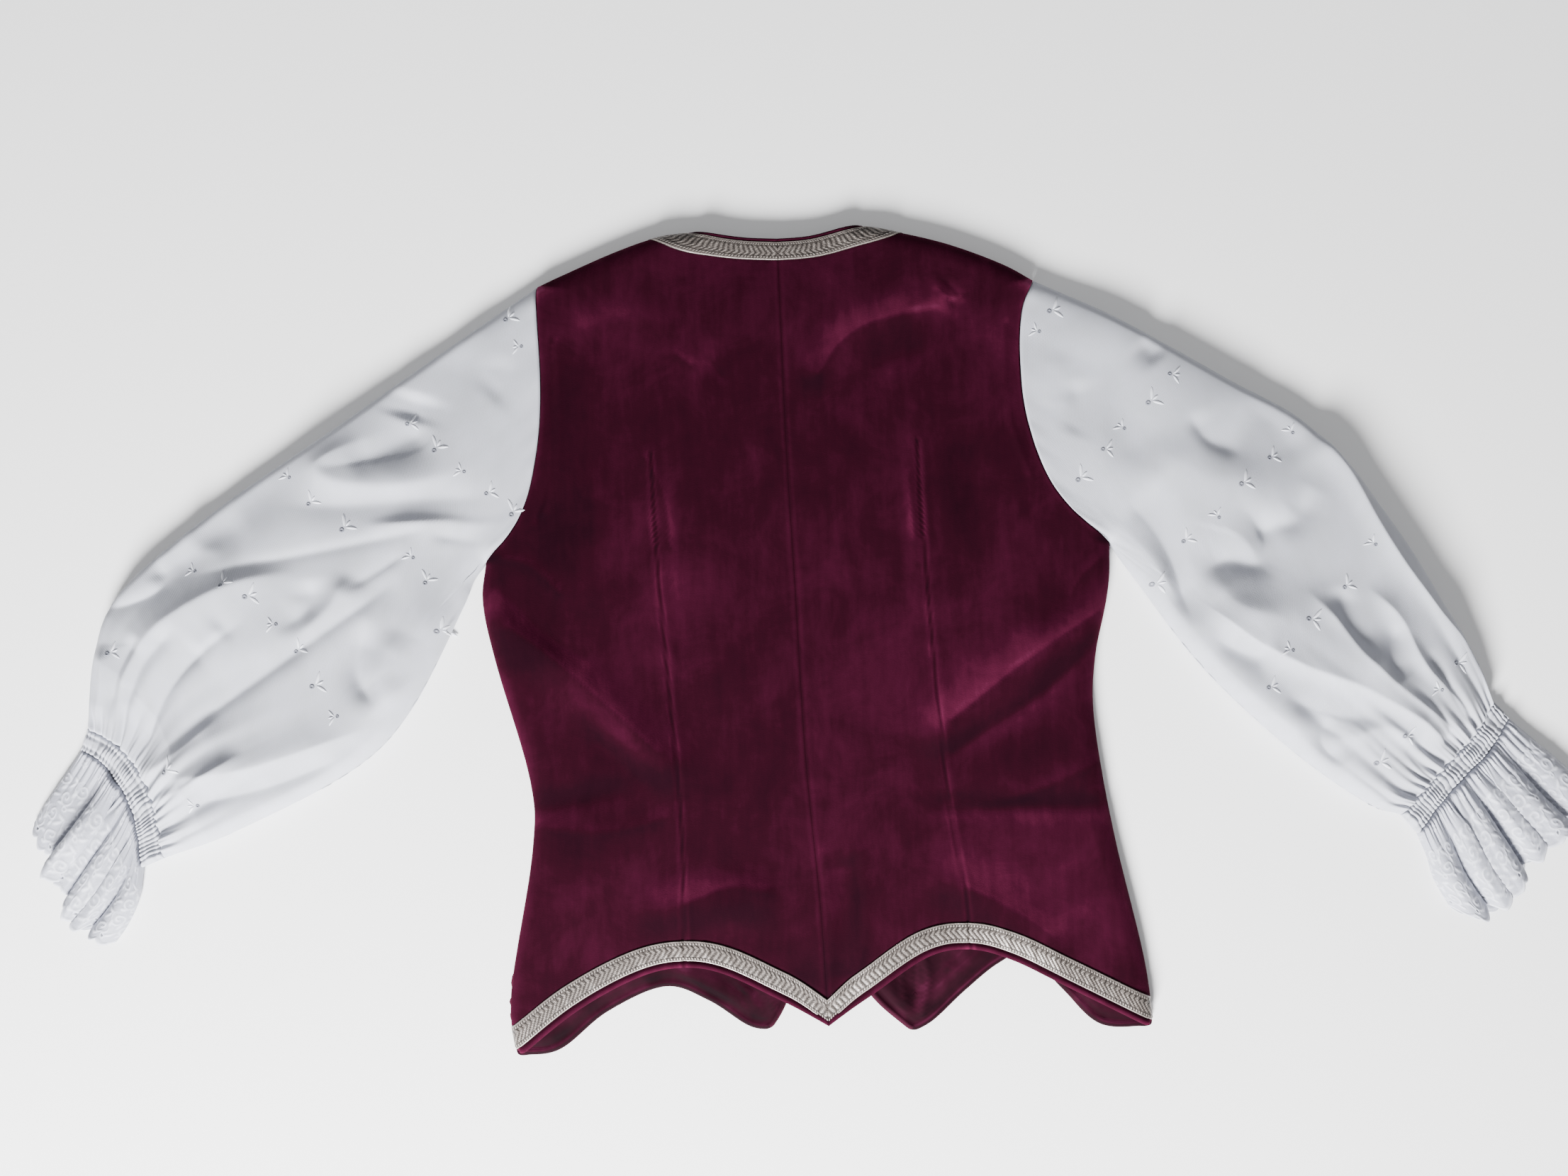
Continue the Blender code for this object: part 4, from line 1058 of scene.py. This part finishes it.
def back_panel(side):
    """Half of the back: its edges turn down, and its rim outside the braid is a soft padded roll."""
    across, down = spread(PANEL_WIDE, BACK_STEP), spread(BACK_LONG, BACK_STEP)
    plan = back_fill(side)(across[None, :], down[:, None])
    x, y = np.moveaxis(plan, -1, 0)
    height = back_top(side, x, y)
    # pile marks with painted shade and highlights, from the table and from the panel's slopes
    pile_and_painted_shade = pile_and_painted_shade_at(x, y) + painted_slope_shade(standing(plan, height))
    edges = {
        "neck": BACK_NECK[side],
        "hem": BACK_HEM[side],
        "seam": CENTRE_BACK,
        "shoulder": SHOULDER[side],
        "armhole": ARMHOLE[side],
        "side": SIDE_SEAM[side],
    }
    away = {name: away_from(curve(table), x, y) for name, table in edges.items()}
    away["dart"] = away_from(curve(DART[side], 8), x, y)
    away["outer"] = np.minimum(away["shoulder"], away["side"])
    height += ridges(away["hem"], HEM_ROLL) + ridges(away["neck"], NECK_ROLL)
    for name, margin in (("hem", HEM_MARGIN), ("neck", NECK_MARGIN)):
        height -= BRAID_BED * ((away[name] > margin) & (away[name] < margin + BRAID_WIDE))
    height -= turned_down(np.minimum.reduce([away[name] for name in ("neck", "hem", "armhole", "outer")]))
    height -= SEAM_GROOVE * turned_down(away["seam"])
    # painted shade in the seam and the dart, painted highlights beside them and along the hem, armhole and
    # outer edges
    for name, shades in EDGE_PAINTED_SHADE_AND_HIGHLIGHT.items():
        pile_and_painted_shade += ridges(away[name], shades)
    mesh = cloth_mesh(standing(corner_rounded(plan, SIDE_SEAM[side], BACK_HEM[side], CORNER_ROUND), height))
    paint(mesh, "pile_and_painted_shade", pile_and_painted_shade)
    face_up(mesh)
    return sewn(f"back_{side}.velvet", mesh, [VELVET, LINING], VELVET_SHOWN, f"back_{side}", 1)


def front_rounded(side, plan):
    plan = corner_rounded(plan, FRONT_EDGE[side], FRONT_HEM[side], TIP_ROUND)
    return corner_rounded(plan, SIDE_SEAM[side], FRONT_HEM[side], CORNER_ROUND)


def front_panel(side):
    """One front, face down: the lining shows inside its tip, with the two lines that hold the braid."""
    across, down = spread(PANEL_WIDE, FRONT_STEP_ACROSS), spread(FRONT_LONG, FRONT_STEP_DOWN)
    plan = front_fill(side)(across[None, :], down[:, None])
    x, y = np.moveaxis(plan, -1, 0)
    borders = (FRONT_NECK[side], FRONTS_MEET, FRONT_EDGE[side], FRONT_HEM[side])
    border = np.minimum.reduce([away_from(curve(table), x, y) for table in borders])
    seam = np.minimum(*(away_from(curve(table[side]), x, y) for table in (SHOULDER, SIDE_SEAM)))
    armhole = away_from(curve(ARMHOLE[side]), x, y)
    from_seam = eased(seam / LIFT_REACH)
    over_hem = np.clip((HEM_MARGIN + BRAID_WIDE + BRAID_FADE - border) / BRAID_FADE, 0, 1)
    lifts = (
        FRONT_LIFT * over_hem * np.clip(border / (2 * ROLL), 0, 1),
        ridges(np.minimum(seam, armhole), (Ridge(0, LIFT_REACH, FRONT_LIFT),)),
        ridges(seam, (Ridge(0, LIFT_REACH, SEAM_LIFT),)),
    )
    height = VELVET_WALL + np.maximum.reduce(lifts)
    # stitching, 3 mm apart, draws the lining in along both edges of the braid on the other face
    height += from_seam * ridges(border, BRAID_STITCHES)
    height += ridges(border, TIP_RIDGES) + relief(TIP_CREASES[side], x, y)
    over_braid = (border > HEM_MARGIN) & (border < HEM_MARGIN + BRAID_WIDE)
    height = np.where(over_braid, np.maximum(height, OVER_BRAID), height)
    # pile marks with painted shade and highlights, from the table and from the front's slopes
    pile_and_painted_shade = pile_and_painted_shade_at(x, y) + painted_slope_shade(standing(plan, height))
    height -= np.maximum(turned_down(border) * from_seam, turned_down(armhole))
    mesh = cloth_mesh(standing(front_rounded(side, plan), height))
    # painted highlight along the hem's roll
    paint(mesh, "pile_and_painted_shade", pile_and_painted_shade + ridges(border, EDGE_PAINTED_SHADE_AND_HIGHLIGHT["hem"]))
    face_up(mesh)
    return sewn(f"front_{side}.velvet", mesh, [LINING, VELVET], VELVET_SHOWN, f"front_{side}", 1)


# Braid


def braid_relief(along, across):
    """Height of the braid's weave, 0 to 1: slanting strands that hook back, between two beaded cords."""
    beads = np.zeros(np.shape(along))
    for line in BEAD_LINES:
        step = ((along / BEAD_STEP) % 1 - 0.5) * BEAD_STEP
        away = (step / BEAD_REACH[0]) ** 2 + ((across - line) / BEAD_REACH[1]) ** 2
        beads = np.maximum(beads, np.exp(-(away**1.5)))
    bent = np.where(across > HOOK_LINE, 2 * HOOK_LINE - across, across)
    phase = ((along + STRAND_SLANT * bent) / STRAND_STEP) % 1 - 0.5
    strand = ridges(phase * STRAND_STEP, [Ridge(0, STRAND_REACH, 1, 4)])
    strand = strand * (0.75 + 0.25 * np.cos(phase * 2 * np.pi * 3))
    ripple = 0.78 + 0.22 * np.cos(2 * np.pi * (along - 1.4 * across) / STRAND_RIPPLE)
    field = ridges(across, [Ridge(BRAID_WIDE / 2, FIELD_REACH, 1, 8)])
    return np.maximum.reduce([ridges(across, BRAID_CORDS), beads, strand * ripple * field])


def braid_strip(name, plan, base, replaced, upside_down=False):
    """A strip of braid from its places on the table, in rows over its width, and the height it is sewn at."""
    along = np.broadcast_to(lengths(plan[len(plan) // 2]), base.shape)
    across = np.broadcast_to(np.linspace(0, BRAID_WIDE, len(plan))[:, None], base.shape)
    raised = braid_relief(along, across)
    arch = BRAID_ARCH * np.sqrt(np.clip(1 - (2 * across / BRAID_WIDE - 1) ** 2, 0, 1))
    bulge = BULGE * np.sin(along * 2 * np.pi / BULGE_STEP)
    if "hem" in name:
        bulge = bulge + PUCKER_LIFT * ridges(along / along[0, -1], BRAID_PUCKERS)
    lift = arch + BRAID_RELIEF * raised + bulge * np.sin(np.pi * across / BRAID_WIDE)
    height = base - lift if upside_down else base + lift
    mesh = grid_mesh(world(standing(plan, height)), np.stack([along, across], -1) * MM)
    # the weave's height, which the braid's material also turns into painted shade in its gaps
    paint(mesh, "raised", raised)
    face_up(mesh)
    if upside_down:
        bmesh.ops.reverse_faces(mesh, faces=mesh.faces[:])
    return sewn(name, mesh, [BRAID], BRAID_SHOWN, replaced)


def back_braids(side):
    """The braid along the back's neck and hem. At the point of the hem it runs nearer to the edge."""
    fill = back_fill(side)
    rows = np.linspace(0, 1, BACK_BRAID_ROWS)[:, None]
    pieces = []
    for table, margin, name in ((BACK_NECK, NECK_MARGIN, "neck_braid"), (BACK_HEM, HEM_MARGIN, "hem_braid")):
        at_hem = name == "hem_braid"
        u = np.linspace(0, 1, int(lengths(curve(table[side]))[-1] / BRAID_STEP))
        outside = np.full(len(u), margin)
        if at_hem:
            from_tip = np.linalg.norm(fill(u, 1.0) - np.array(CENTRE_BACK[-1]), axis=1)
            outside = TIP_MARGIN + (margin - TIP_MARGIN) * np.clip(from_tip / TIP_REACH, 0, 1)
        ends = square_shares(fill, u, np.array([outside, outside + BRAID_WIDE]), at_hem)
        plan = fill(u[None, :], ends[0] + (ends[1] - ends[0]) * rows)
        base = back_top(side, plan[..., 0], plan[..., 1]) + BRAID_GAP
        plan = corner_rounded(plan, SIDE_SEAM[side], BACK_HEM[side], CORNER_ROUND)
        pieces.append(braid_strip(f"{name}_{side}.woven", plan, base, f"{name}_{side}"))
    return pieces


def front_braid(side):
    """The braid on the face that lies down, along the neck, the front edge and the hem."""
    fill = front_fill(side)

    def turned_fill(u, v):
        return fill(v, u)

    rows = np.linspace(0, 1, FRONT_BRAID_ROWS)[:, None]
    strips = (
        ("hem", fill, np.linspace(0.09, 1, 170), True, HEM_MARGIN),
        ("neck", fill, np.linspace(0.09, 1, 170), False, NECK_MARGIN),
        ("edge", turned_fill, np.linspace(0.06, 0.96, 330), False, HEM_MARGIN),
    )
    pieces = []
    for name, filled, place, from_end, margin in strips:
        widths = np.tile([[margin], [margin + BRAID_WIDE]], len(place))
        ends = square_shares(filled, place, widths, from_end)
        plan = front_rounded(side, filled(place[None, :], ends[0] + (ends[1] - ends[0]) * rows))
        base = np.full(plan.shape[:2], UNDER_BRAID)
        strip = braid_strip(f"front_braid_{name}_{side}.woven", plan, base, f"front_braid_{side}", True)
        pieces.append(strip)
    return pieces


# Sleeves


def oval(steps_above, steps_below):
    """Shares across a flattened tube, over its upper face and back under it, close together at its edges."""
    above = (1 - np.cos(np.pi * np.arange(steps_above) / steps_above)) / 2
    below = (1 + np.cos(np.pi * np.arange(steps_below + 1) / steps_below)) / 2
    return above, below


def section(above, below, edge, top):
    """Heights over a flattened tube and under it, and how far from its sides each place above is."""
    arch = np.sqrt(np.clip(1 - (2 * above - 1) ** 2, 0, 1))
    belly = np.sqrt(np.clip(1 - (2 * below - 1) ** 2, 0, 1))
    proud = np.clip(arch * 3, 0, 1)
    return edge + (top - edge) * arch**TUBE_CROWN, edge * (1 - belly**TUBE_BELLY), proud


def uneven(share, seed):
    """A share moved a little along its edge, so that what repeats there is never quite even."""
    slow = 0.016 * np.sin(2 * np.pi * (2.3 * share + seed))
    return share + slow + 0.007 * np.sin(2 * np.pi * (5.7 * share - seed))


def gathers(table, share, away):
    """Ridges that run out of a gathered edge and die away, in step with the gathers of that edge."""
    total = np.zeros(np.broadcast(share, away).shape)
    for row in table:
        place = uneven(share, row.start) + 0.016 * np.sin(9 * share + row.count) * away / row.reach
        wave = 0.5 + 0.5 * np.cos(2 * np.pi * (place * row.count + row.start))
        size = 0.7 + 0.3 * np.sin(2 * np.pi * (3.1 * share + row.start))
        total += row.height * size * wave**0.8 * np.exp(-((away / row.reach) ** 1.4))
    return total


def fan_share(share):
    """Share of the armhole where a place across the sleeve starts. Those past the fan start under the arm."""
    return np.minimum(np.asarray(share) / UNDERARM_FAN, 1)


def sleeve_fill(side):
    armhole = run([ARMHOLE[side]])

    def head(share):
        return armhole(fan_share(share))

    return patch(run([SLEEVE_UPPER[side]]), run([SLEEVE_LOWER[side]]), head, run([WRIST[side]]))


def tucked_in(height, away, held):
    """Heights that turn down to the wrist's seam near it, as far as they aren't held up."""
    return height - (1 - rounded(away, TUCK_ROUND)) * np.maximum(height - BAND_TUCK - held, 0)


def sleeve_top(side, x, y, across, loft):
    """Height of a sleeve's upper face: round at its seams, folded, and drawn up in gathers at both ends."""
    edge = np.minimum(*(away_from(curve(table[side], 6), x, y) for table in (SLEEVE_UPPER, SLEEVE_LOWER)))
    shape = ROUND_SHARE * rounded(edge, SEAM_ROUND) + (1 - ROUND_SHARE) * rounded(edge, SLEEVE_ROUND)
    height = SLEEVE_EDGE + (loft - SLEEVE_EDGE) * shape
    height += rounded(edge, FOLD_ROUND) * relief(SLEEVE_FOLDS[side], x, y)
    height = np.maximum(height, SLEEVE_EDGE)
    head = away_from(curve(ARMHOLE[side]), x, y)
    lip = back_under(x, y) + LIP_RISE
    height = lip + (height - lip) * eased(head / LIP_REACH)
    wrist = away_from(curve(WRIST[side]), x, y)
    drawn = gathers(WRIST_GATHERS, across, wrist) + gathers(HEAD_GATHERS, across, head)
    return tucked_in(height + rounded(edge, SEAM_ROUND) * drawn, wrist, 0)


def sleeve_below(side, fill, below, share, along):
    """Height of the face that a sleeve lies on: it rests on the table between its two rounded sides."""
    belly = belly_of(share)
    x, y = np.moveaxis(fill(below, along), -1, 0)
    side_x, side_y = np.moveaxis(fill(np.array([0.0, 1.0]), along), -1, 0)
    at_sides = eased(away_from(curve(ARMHOLE[side]), side_x, side_y) / LIP_REACH)
    sides = SEAM_HEIGHT + LIP_RISE + (SLEEVE_EDGE - SEAM_HEIGHT - LIP_RISE) * at_sides
    edge = sides[:, :1] + (sides[:, 1:] - sides[:, :1]) * below
    height = edge * (1 - belly**SLEEVE_BELLY) + 0.5 * belly
    height -= 0.2 * belly * gathers(WRIST_GATHERS, below, away_from(curve(WRIST[side]), x, y))
    return np.maximum(height, 0.25)


def sleeve(side):
    """A bishop sleeve: one tube that leaves the armhole at the back's height and is gathered at the wrist."""
    fill = sleeve_fill(side)
    above, below = (shares[None, :] for shares in oval(POINTS_ABOVE, POINTS_BELOW))
    length = np.linalg.norm(fill(0.5, 1.0) - fill(0.5, 0.0))
    body = np.linspace(HEAD_START / length, CUFF_SHARE, BODY_ROWS, endpoint=False)
    along = np.concatenate([body, np.linspace(CUFF_SHARE, 1, CUFF_ROWS)])[:, None]
    x, y = np.moveaxis(fill(above, along), -1, 0)
    upper = sleeve_top(side, x, y, above, loft_at(SLEEVE_LOFT, along))
    fanned = below + (1 - along) * (fan_share(below) - below)
    lower = sleeve_below(side, fill, below, fanned, along)
    flat = np.concatenate([fill(above, along), fill(below, along)], axis=1)
    mesh = cloth_mesh(standing(flat, np.concatenate([upper, lower], axis=1)), closed=True)
    top_faces_up(mesh)
    tree = BVHTree.FromBMesh(mesh)
    piece = sewn(f"sleeve_{side}.cotton", mesh, [COTTON], COTTON_SHOWN, f"sleeve_{side}")
    return piece, tree


def leaf_of(mesh, leaf):
    """A padded leaf, wide in its middle and bent to one side, turned about the sprig's own middle."""
    verts = bmesh.ops.create_uvsphere(mesh, u_segments=8, v_segments=6, radius=1)["verts"]
    for vert in verts:
        out, up, t = vert.co
        way = (t + 1) / 2
        plump = leaf.width / 2 * (0.55 + 0.45 * (1 - t * t))
        bent = out * plump + leaf.bend * way * way
        vert.co = Vector((leaf.start + way * leaf.length, bent, up * LEAF_RISE))
        vert.co.rotate(Matrix.Rotation(leaf.turn, 3, "Z"))
    return verts


def eyelet_of(mesh):
    """A bound ring around a disc painted with the eyelet's shade where its hole is, behind the sprig's
    middle.
    """
    ring = bmesh.ops.create_circle(mesh, segments=12, radius=EYELET_RING[0].reach, cap_ends=True)["verts"]
    # the disc in the middle takes the painted eyelet shade
    for face in ring[0].link_faces:
        face.material_index = 1
    parts = list(ring)
    for step in EYELET_RING[1:]:
        rim = [edge for edge in mesh.edges if edge.is_boundary and all(vert in ring for vert in edge.verts)]
        grown = bmesh.ops.extrude_edge_only(mesh, edges=rim)["geom"]
        ring = [item for item in grown if isinstance(item, bmesh.types.BMVert)]
        for vert in ring:
            vert.co = Vector((*(vert.co.xy.normalized() * step.reach), step.rise))
        parts += ring
    for vert in parts:
        vert.co.x -= EYELET_PLACE
    return parts


def sprig(mesh, tree, middle, turn, size, down):
    """One sprig, turned and laid on the sleeve's upper face, or on the face that it lies on."""
    parts = eyelet_of(mesh)
    for leaf in LEAVES:
        parts += leaf_of(mesh, leaf)
    turned = Matrix.Rotation(turn, 3, "Z")
    place = Vector((middle[0] + LAY_X, middle[1] + LAY_Y, 0)) * MM
    start, way = Vector((0, 0, -0.05 if down else 0.2)), Vector((0, 0, 1 if down else -1))
    under = tree.ray_cast(place + start, way)[0]
    for vert in parts:
        vert.co.rotate(turned)
        spot = place + Vector((vert.co.x, vert.co.y, 0)) * size * MM
        hit = tree.ray_cast(spot + start, way)[0] or under
        vert.co = Vector((spot.x, spot.y, max(hit.z - way.z * vert.co.z * MM, 0)))


def sprigs(side, tree):
    """Satin-stitched sprigs, each of three leaves and a bound eyelet, on both faces of the sleeve."""
    mesh = bmesh.new()
    for number, middle in enumerate(SPRIGS[side]):
        turn = SPRIG_TURN[side] + 0.4 * math.sin(number * 2.4) + (2.2 if number % 3 == 1 else 0)
        for down in (False, True):
            sprig(mesh, tree, middle, turn, SPRIG_SIZES[number % len(SPRIG_SIZES)], down)
    for face in mesh.faces:
        face.smooth = True
    return made(f"sprigs_{side}.stitched", mesh, [STITCH, PAINTED_EYELET_SHADE])


# Wrist bands and frills


def wrist_band(side):
    """The channel of elastic, drawn up into ribs by its two rows of stitching."""
    upper = run([[WRIST[side][0], BAND_END[side][0]]])
    lower = run([[WRIST[side][-1], BAND_END[side][-1]]])
    fill = patch(upper, lower, run([WRIST[side]]), run([BAND_END[side]]))
    above = np.arange(GATHERS * RIB_POINTS)[None, :] / (GATHERS * RIB_POINTS)
    below = oval(1, BAND_BELOW)[1][None, :]
    along = np.linspace(0.0, 1.0, BAND_ROWS)[:, None]
    z_above, z_below, proud = section(above, below, BAND_EDGE, BAND_TOP)
    place = uneven(above, 0.2) + RIB_WANDER * np.sin(19 * above + 5 * along)
    place = place + RIB_WANDER / 3 * np.sin(47 * above - 9 * along)
    ribs = np.abs(np.sin(np.pi * GATHERS * place)) ** 0.7
    size = 0.8 + 0.3 * np.sin(2 * np.pi * (5.3 * above + 0.4 * along))
    held = ridges(along, [Ridge(row, STITCH_WIDE, 1) for row in STITCH_ROWS])
    height = z_above + proud * ((RIB_RISE - HELD_RIBS * held) * size * ribs - HELD_BAND * held)
    turned = proud * (1 - rounded(np.minimum(along, 1 - along), TUCK_SHARE))
    height = height - turned * np.maximum(height - BAND_TUCK - RIB_OVER_TUCK * ribs, 0)
    belly = belly_of(below)
    ribs_below = np.abs(np.sin(np.pi * GATHERS * below)) * np.ones_like(along)
    under = np.maximum(z_below + 0.6 * belly - 0.5 * ribs_below * belly, LOWEST)
    flat = fill(np.concatenate([above, below], axis=1), along)
    mesh = cloth_mesh(standing(flat, np.concatenate([height, under], axis=1)), closed=True)
    top_faces_up(mesh)
    return sewn(f"wrist_band_{side}.elastic", mesh, [COTTON], COTTON_SHOWN, f"wrist_band_{side}")


def embroidery(along_hem, up):
    """Raised stitching of the frill, and where its eyelets are, by places along the hem and up from it.

    Above a bound rim come two rows of scrolls with leaves and eyelets, then a few flowers.
    """
    row = np.floor((up - FIRST_ROW) / EMBROIDERY_ROW)
    q = (up - FIRST_ROW) % EMBROIDERY_ROW + FIRST_ROW
    p = ((along_hem / EMBROIDERY_REPEAT + ROW_SHIFT * row) % 1 - 0.5) * EMBROIDERY_REPEAT
    at_hem = row < SCROLL_ROWS
    total = np.zeros(np.shape(p))
    for scroll in SCROLLS:
        dp, dq = (p - scroll.along) * scroll.way, q - scroll.up
        radius, angle = np.hypot(dp, dq), np.arctan2(dq, dp)
        spiral = (radius - SCROLL_STEP / (2 * np.pi) * (angle + np.pi)) / SCROLL_STEP
        stroke = np.abs(spiral - np.round(spiral)) * SCROLL_STEP
        total = np.maximum(total, at_hem * np.exp(-((stroke / STROKE) ** 2)) * (radius < SCROLL_REACH))
    for leaf in STITCHED_LEAVES:
        dp, dq = p - leaf.along, q - leaf.up
        a = dp * math.cos(leaf.turn) + dq * math.sin(leaf.turn)
        b = dq * math.cos(leaf.turn) - dp * math.sin(leaf.turn)
        inside = (a / leaf.half_length) ** 2 + (b / LEAF_HALF_WIDTH) ** 2
        total = np.maximum(total, at_hem * np.exp(-(inside**2)))
    radius, angle = np.hypot(p, q - FLOWER_UP), np.arctan2(q - FLOWER_UP, p)
    outline = FLOWER_RADIUS + PETAL * np.cos(PETALS * angle)
    flower = np.exp(-(((radius - outline) / 0.7) ** 2))
    total = np.maximum(total, flower * ~at_hem)
    eyelets = np.hypot(p - FRILL_EYELET[0], q - FRILL_EYELET[1])
    total = np.maximum(total, at_hem * ridges(eyelets, [Ridge(EYELET_RADIUS, 0.5, 1)]))
    worked = up > STITCHED_FROM
    return np.maximum(total * worked, ridges(up, RIM)), (eyelets < EYELET_HOLE) & worked & (row < 0.5)


def pleated(share, along, pleats):
    """Shares moved so that the cloth folds back over itself at each pleat, and the height of its layers."""
    grown = eased(along / 0.35)
    moved, height = share + 0 * grown, 0 * share * grown
    for pleat in pleats:
        from_middle = (share - pleat.place) / pleat.width
        turned = np.sin(np.pi * np.clip(from_middle, -1, 1))
        moved = moved - grown * pleat.lap * pleat.width * turned
        falls = 1 - eased((from_middle - 0.8) / 1.6)
        height = height + grown * pleat.height * eased((from_middle + 0.6) / 1.2) * falls
    return moved, height


def frill(side):
    """The frill below the band: it falls into tubes from the gathers, with an embroidered scalloped hem."""
    upper, lower = run([FRILL_UPPER[side]]), run([FRILL_LOWER[side]])
    fill = patch(upper, lower, run([BAND_END[side]]), run([FRILL_HEM[side]]))
    above = np.arange(FRILL_ABOVE)[None, :] / FRILL_ABOVE
    below = np.linspace(1, 0, FRILL_BELOW)[None, :]
    share = np.concatenate([above, below], axis=1)
    along = np.linspace(0.0, 1.0, FRILL_ROWS)[:, None]
    long = np.linalg.norm(fill(0.5, 1.0) - fill(0.5, 0.0))
    wandering = above + 0.012 * along * np.sin(4 * along + 12 * above)
    scallop = 1 - SCALLOP_DEPTH * (1 - np.abs(np.sin(np.pi * SCALLOPS * share)))
    reach = along * (1 + along * (scallop - 1))
    gaps = [Ridge(tube.start, LOBE_GAP, 1) for tube in FRILL_TUBES[side][1:]]
    reach[:, :FRILL_ABOVE] -= along**3 * LOBE_ROUND / long * ridges(wandering, gaps)
    moved, layers = pleated(above, along, FRILL_PLEATS[side])
    lapped = np.concatenate([np.clip(moved, 0, 1), below * np.ones_like(along)], axis=1)
    z_above, z_below, proud = section(above, below, FRILL_EDGE, loft_at(FRILL_LOFT, along))
    ribs = np.abs(np.sin(np.pi * GATHERS * uneven(above, 0.2))) ** 0.7
    folds = np.abs(np.sin(np.pi * GATHERS / 2 * uneven(above, 0.6))) ** 0.8
    gathered = ribs * ridges(along, FRILL_RIBS) + folds * ridges(along, FRILL_FOLDS)
    z_above = z_above + proud * (gathered + layers)
    for tube in FRILL_TUBES[side]:
        way = np.clip((wandering - tube.start) / (tube.end - tube.start), 0, 1)
        round_top = np.clip(1 - (2 * way - 1) ** 2, 0, 1) ** 0.6
        z_above = z_above + proud * tube.height * (0.3 + 0.7 * eased(along / 0.6)) * round_top
    z_above = tucked_in(z_above, along * long, RIB_OVER_TUCK * ribs)
    belly = belly_of(below)
    z_below = z_below + 0.7 * belly - 0.5 * belly * np.sin(np.pi * 14 * below) * along
    points = standing(fill(lapped, reach), np.concatenate([z_above, np.maximum(z_below, 0.3)], axis=1))
    hem = lengths(points[-1])[None, :] * np.ones_like(along)
    raised, holes = embroidery(hem, (1 - along) * long * np.ones_like(reach))
    outwards = np.where(np.arange(share.size) < FRILL_ABOVE, 1, -1)
    stitched = EMBROIDERY_RISE * raised - EYELET_DIP * holes
    points[..., 2] = np.maximum(points[..., 2] + outwards * stitched, LOWEST)
    mesh = cloth_mesh(points, closed=True)
    # the eyelet holes go in below zero, to be painted with shade
    paint(mesh, "raised", raised - holes)
    top_faces_up(mesh)
    name = f"frill_{side}"
    return sewn(f"{name}.embroidered", mesh, [FRILL_COTTON], COTTON_SHOWN, name)


# Putting it together


def declare(piece, with_pieces=()):
    """Turns the pieces that go with a sheet into a list, and does nothing else with them."""
    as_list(with_pieces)


def build_garment():
    for side in SIDES:
        back = back_panel(side)
        braids = back_braids(side)
        front = front_panel(side)
        front_braids = front_braid(side)
        sleeve_piece, tree = sleeve(side)
        stitched = sprigs(side, tree)
        band = wrist_band(side)
        ruffle = frill(side)
        declare(back, braids)
        declare(front, front_braids)
        declare(sleeve_piece, [stitched])
        declare(band)
        declare(ruffle)


def lay_floor():
    mesh = bmesh.new()
    bmesh.ops.create_grid(mesh, x_segments=1, y_segments=1, size=6)
    data = bpy.data.meshes.new("floor")
    mesh.to_mesh(data)
    mesh.free()
    data.materials.append(paper_floor())
    floor = bpy.data.objects.new("floor", data)
    bpy.context.scene.collection.objects.link(floor)


def soft_light(name, place, size, power):
    """A round soft light that faces the middle of the table."""
    data = bpy.data.lights.new(name, "AREA")
    data.shape = "DISK"
    data.size = size
    data.energy = power
    lamp = bpy.data.objects.new(name, data)
    lamp.location = place
    lamp.rotation_euler = Vector(place).to_track_quat("Z", "Y").to_euler()
    bpy.context.scene.collection.objects.link(lamp)


def light_the_table():
    """A low window at the foot of the table, which brings the folds out, and a weak ceiling."""
    soft_light("window", (-0.6, -1.95, 1.08), 0.8, 330)
    soft_light("ceiling", (-0.3, 0.5, 2.6), 2.4, 12)
    sky = bpy.data.worlds.new("studio")
    sky.use_nodes = True
    feed(sky.node_tree.nodes["Background"], Color=linear("#f6f7fa"), Strength=0.32)
    bpy.context.scene.world = sky


def set_camera():
    """Above the table, turned and tipped a little, as the photo's camera was held."""
    turn, tip = math.radians(CAMERA_TURN), math.radians(CAMERA_TIP)
    up_the_table = Vector((math.sin(turn), math.cos(turn), 0))
    right = Vector((math.cos(turn), -math.sin(turn), 0))
    back = math.cos(tip) * Vector((0, 0, 1)) - math.sin(tip) * up_the_table
    turned = Matrix((right, back.cross(right), back)).transposed()
    camera = bpy.data.objects.new("camera", bpy.data.cameras.new("camera"))
    camera.data.sensor_width = 36
    camera.data.lens = CAMERA_LENS
    camera.data.clip_start = 0.05
    place = Matrix.Translation(Vector(CAMERA_FACES) + back * CAMERA_AWAY)
    camera.matrix_world = place @ turned.to_4x4()
    bpy.context.scene.collection.objects.link(camera)
    bpy.context.scene.camera = camera


build_garment()
lay_floor()
light_the_table()
set_camera()
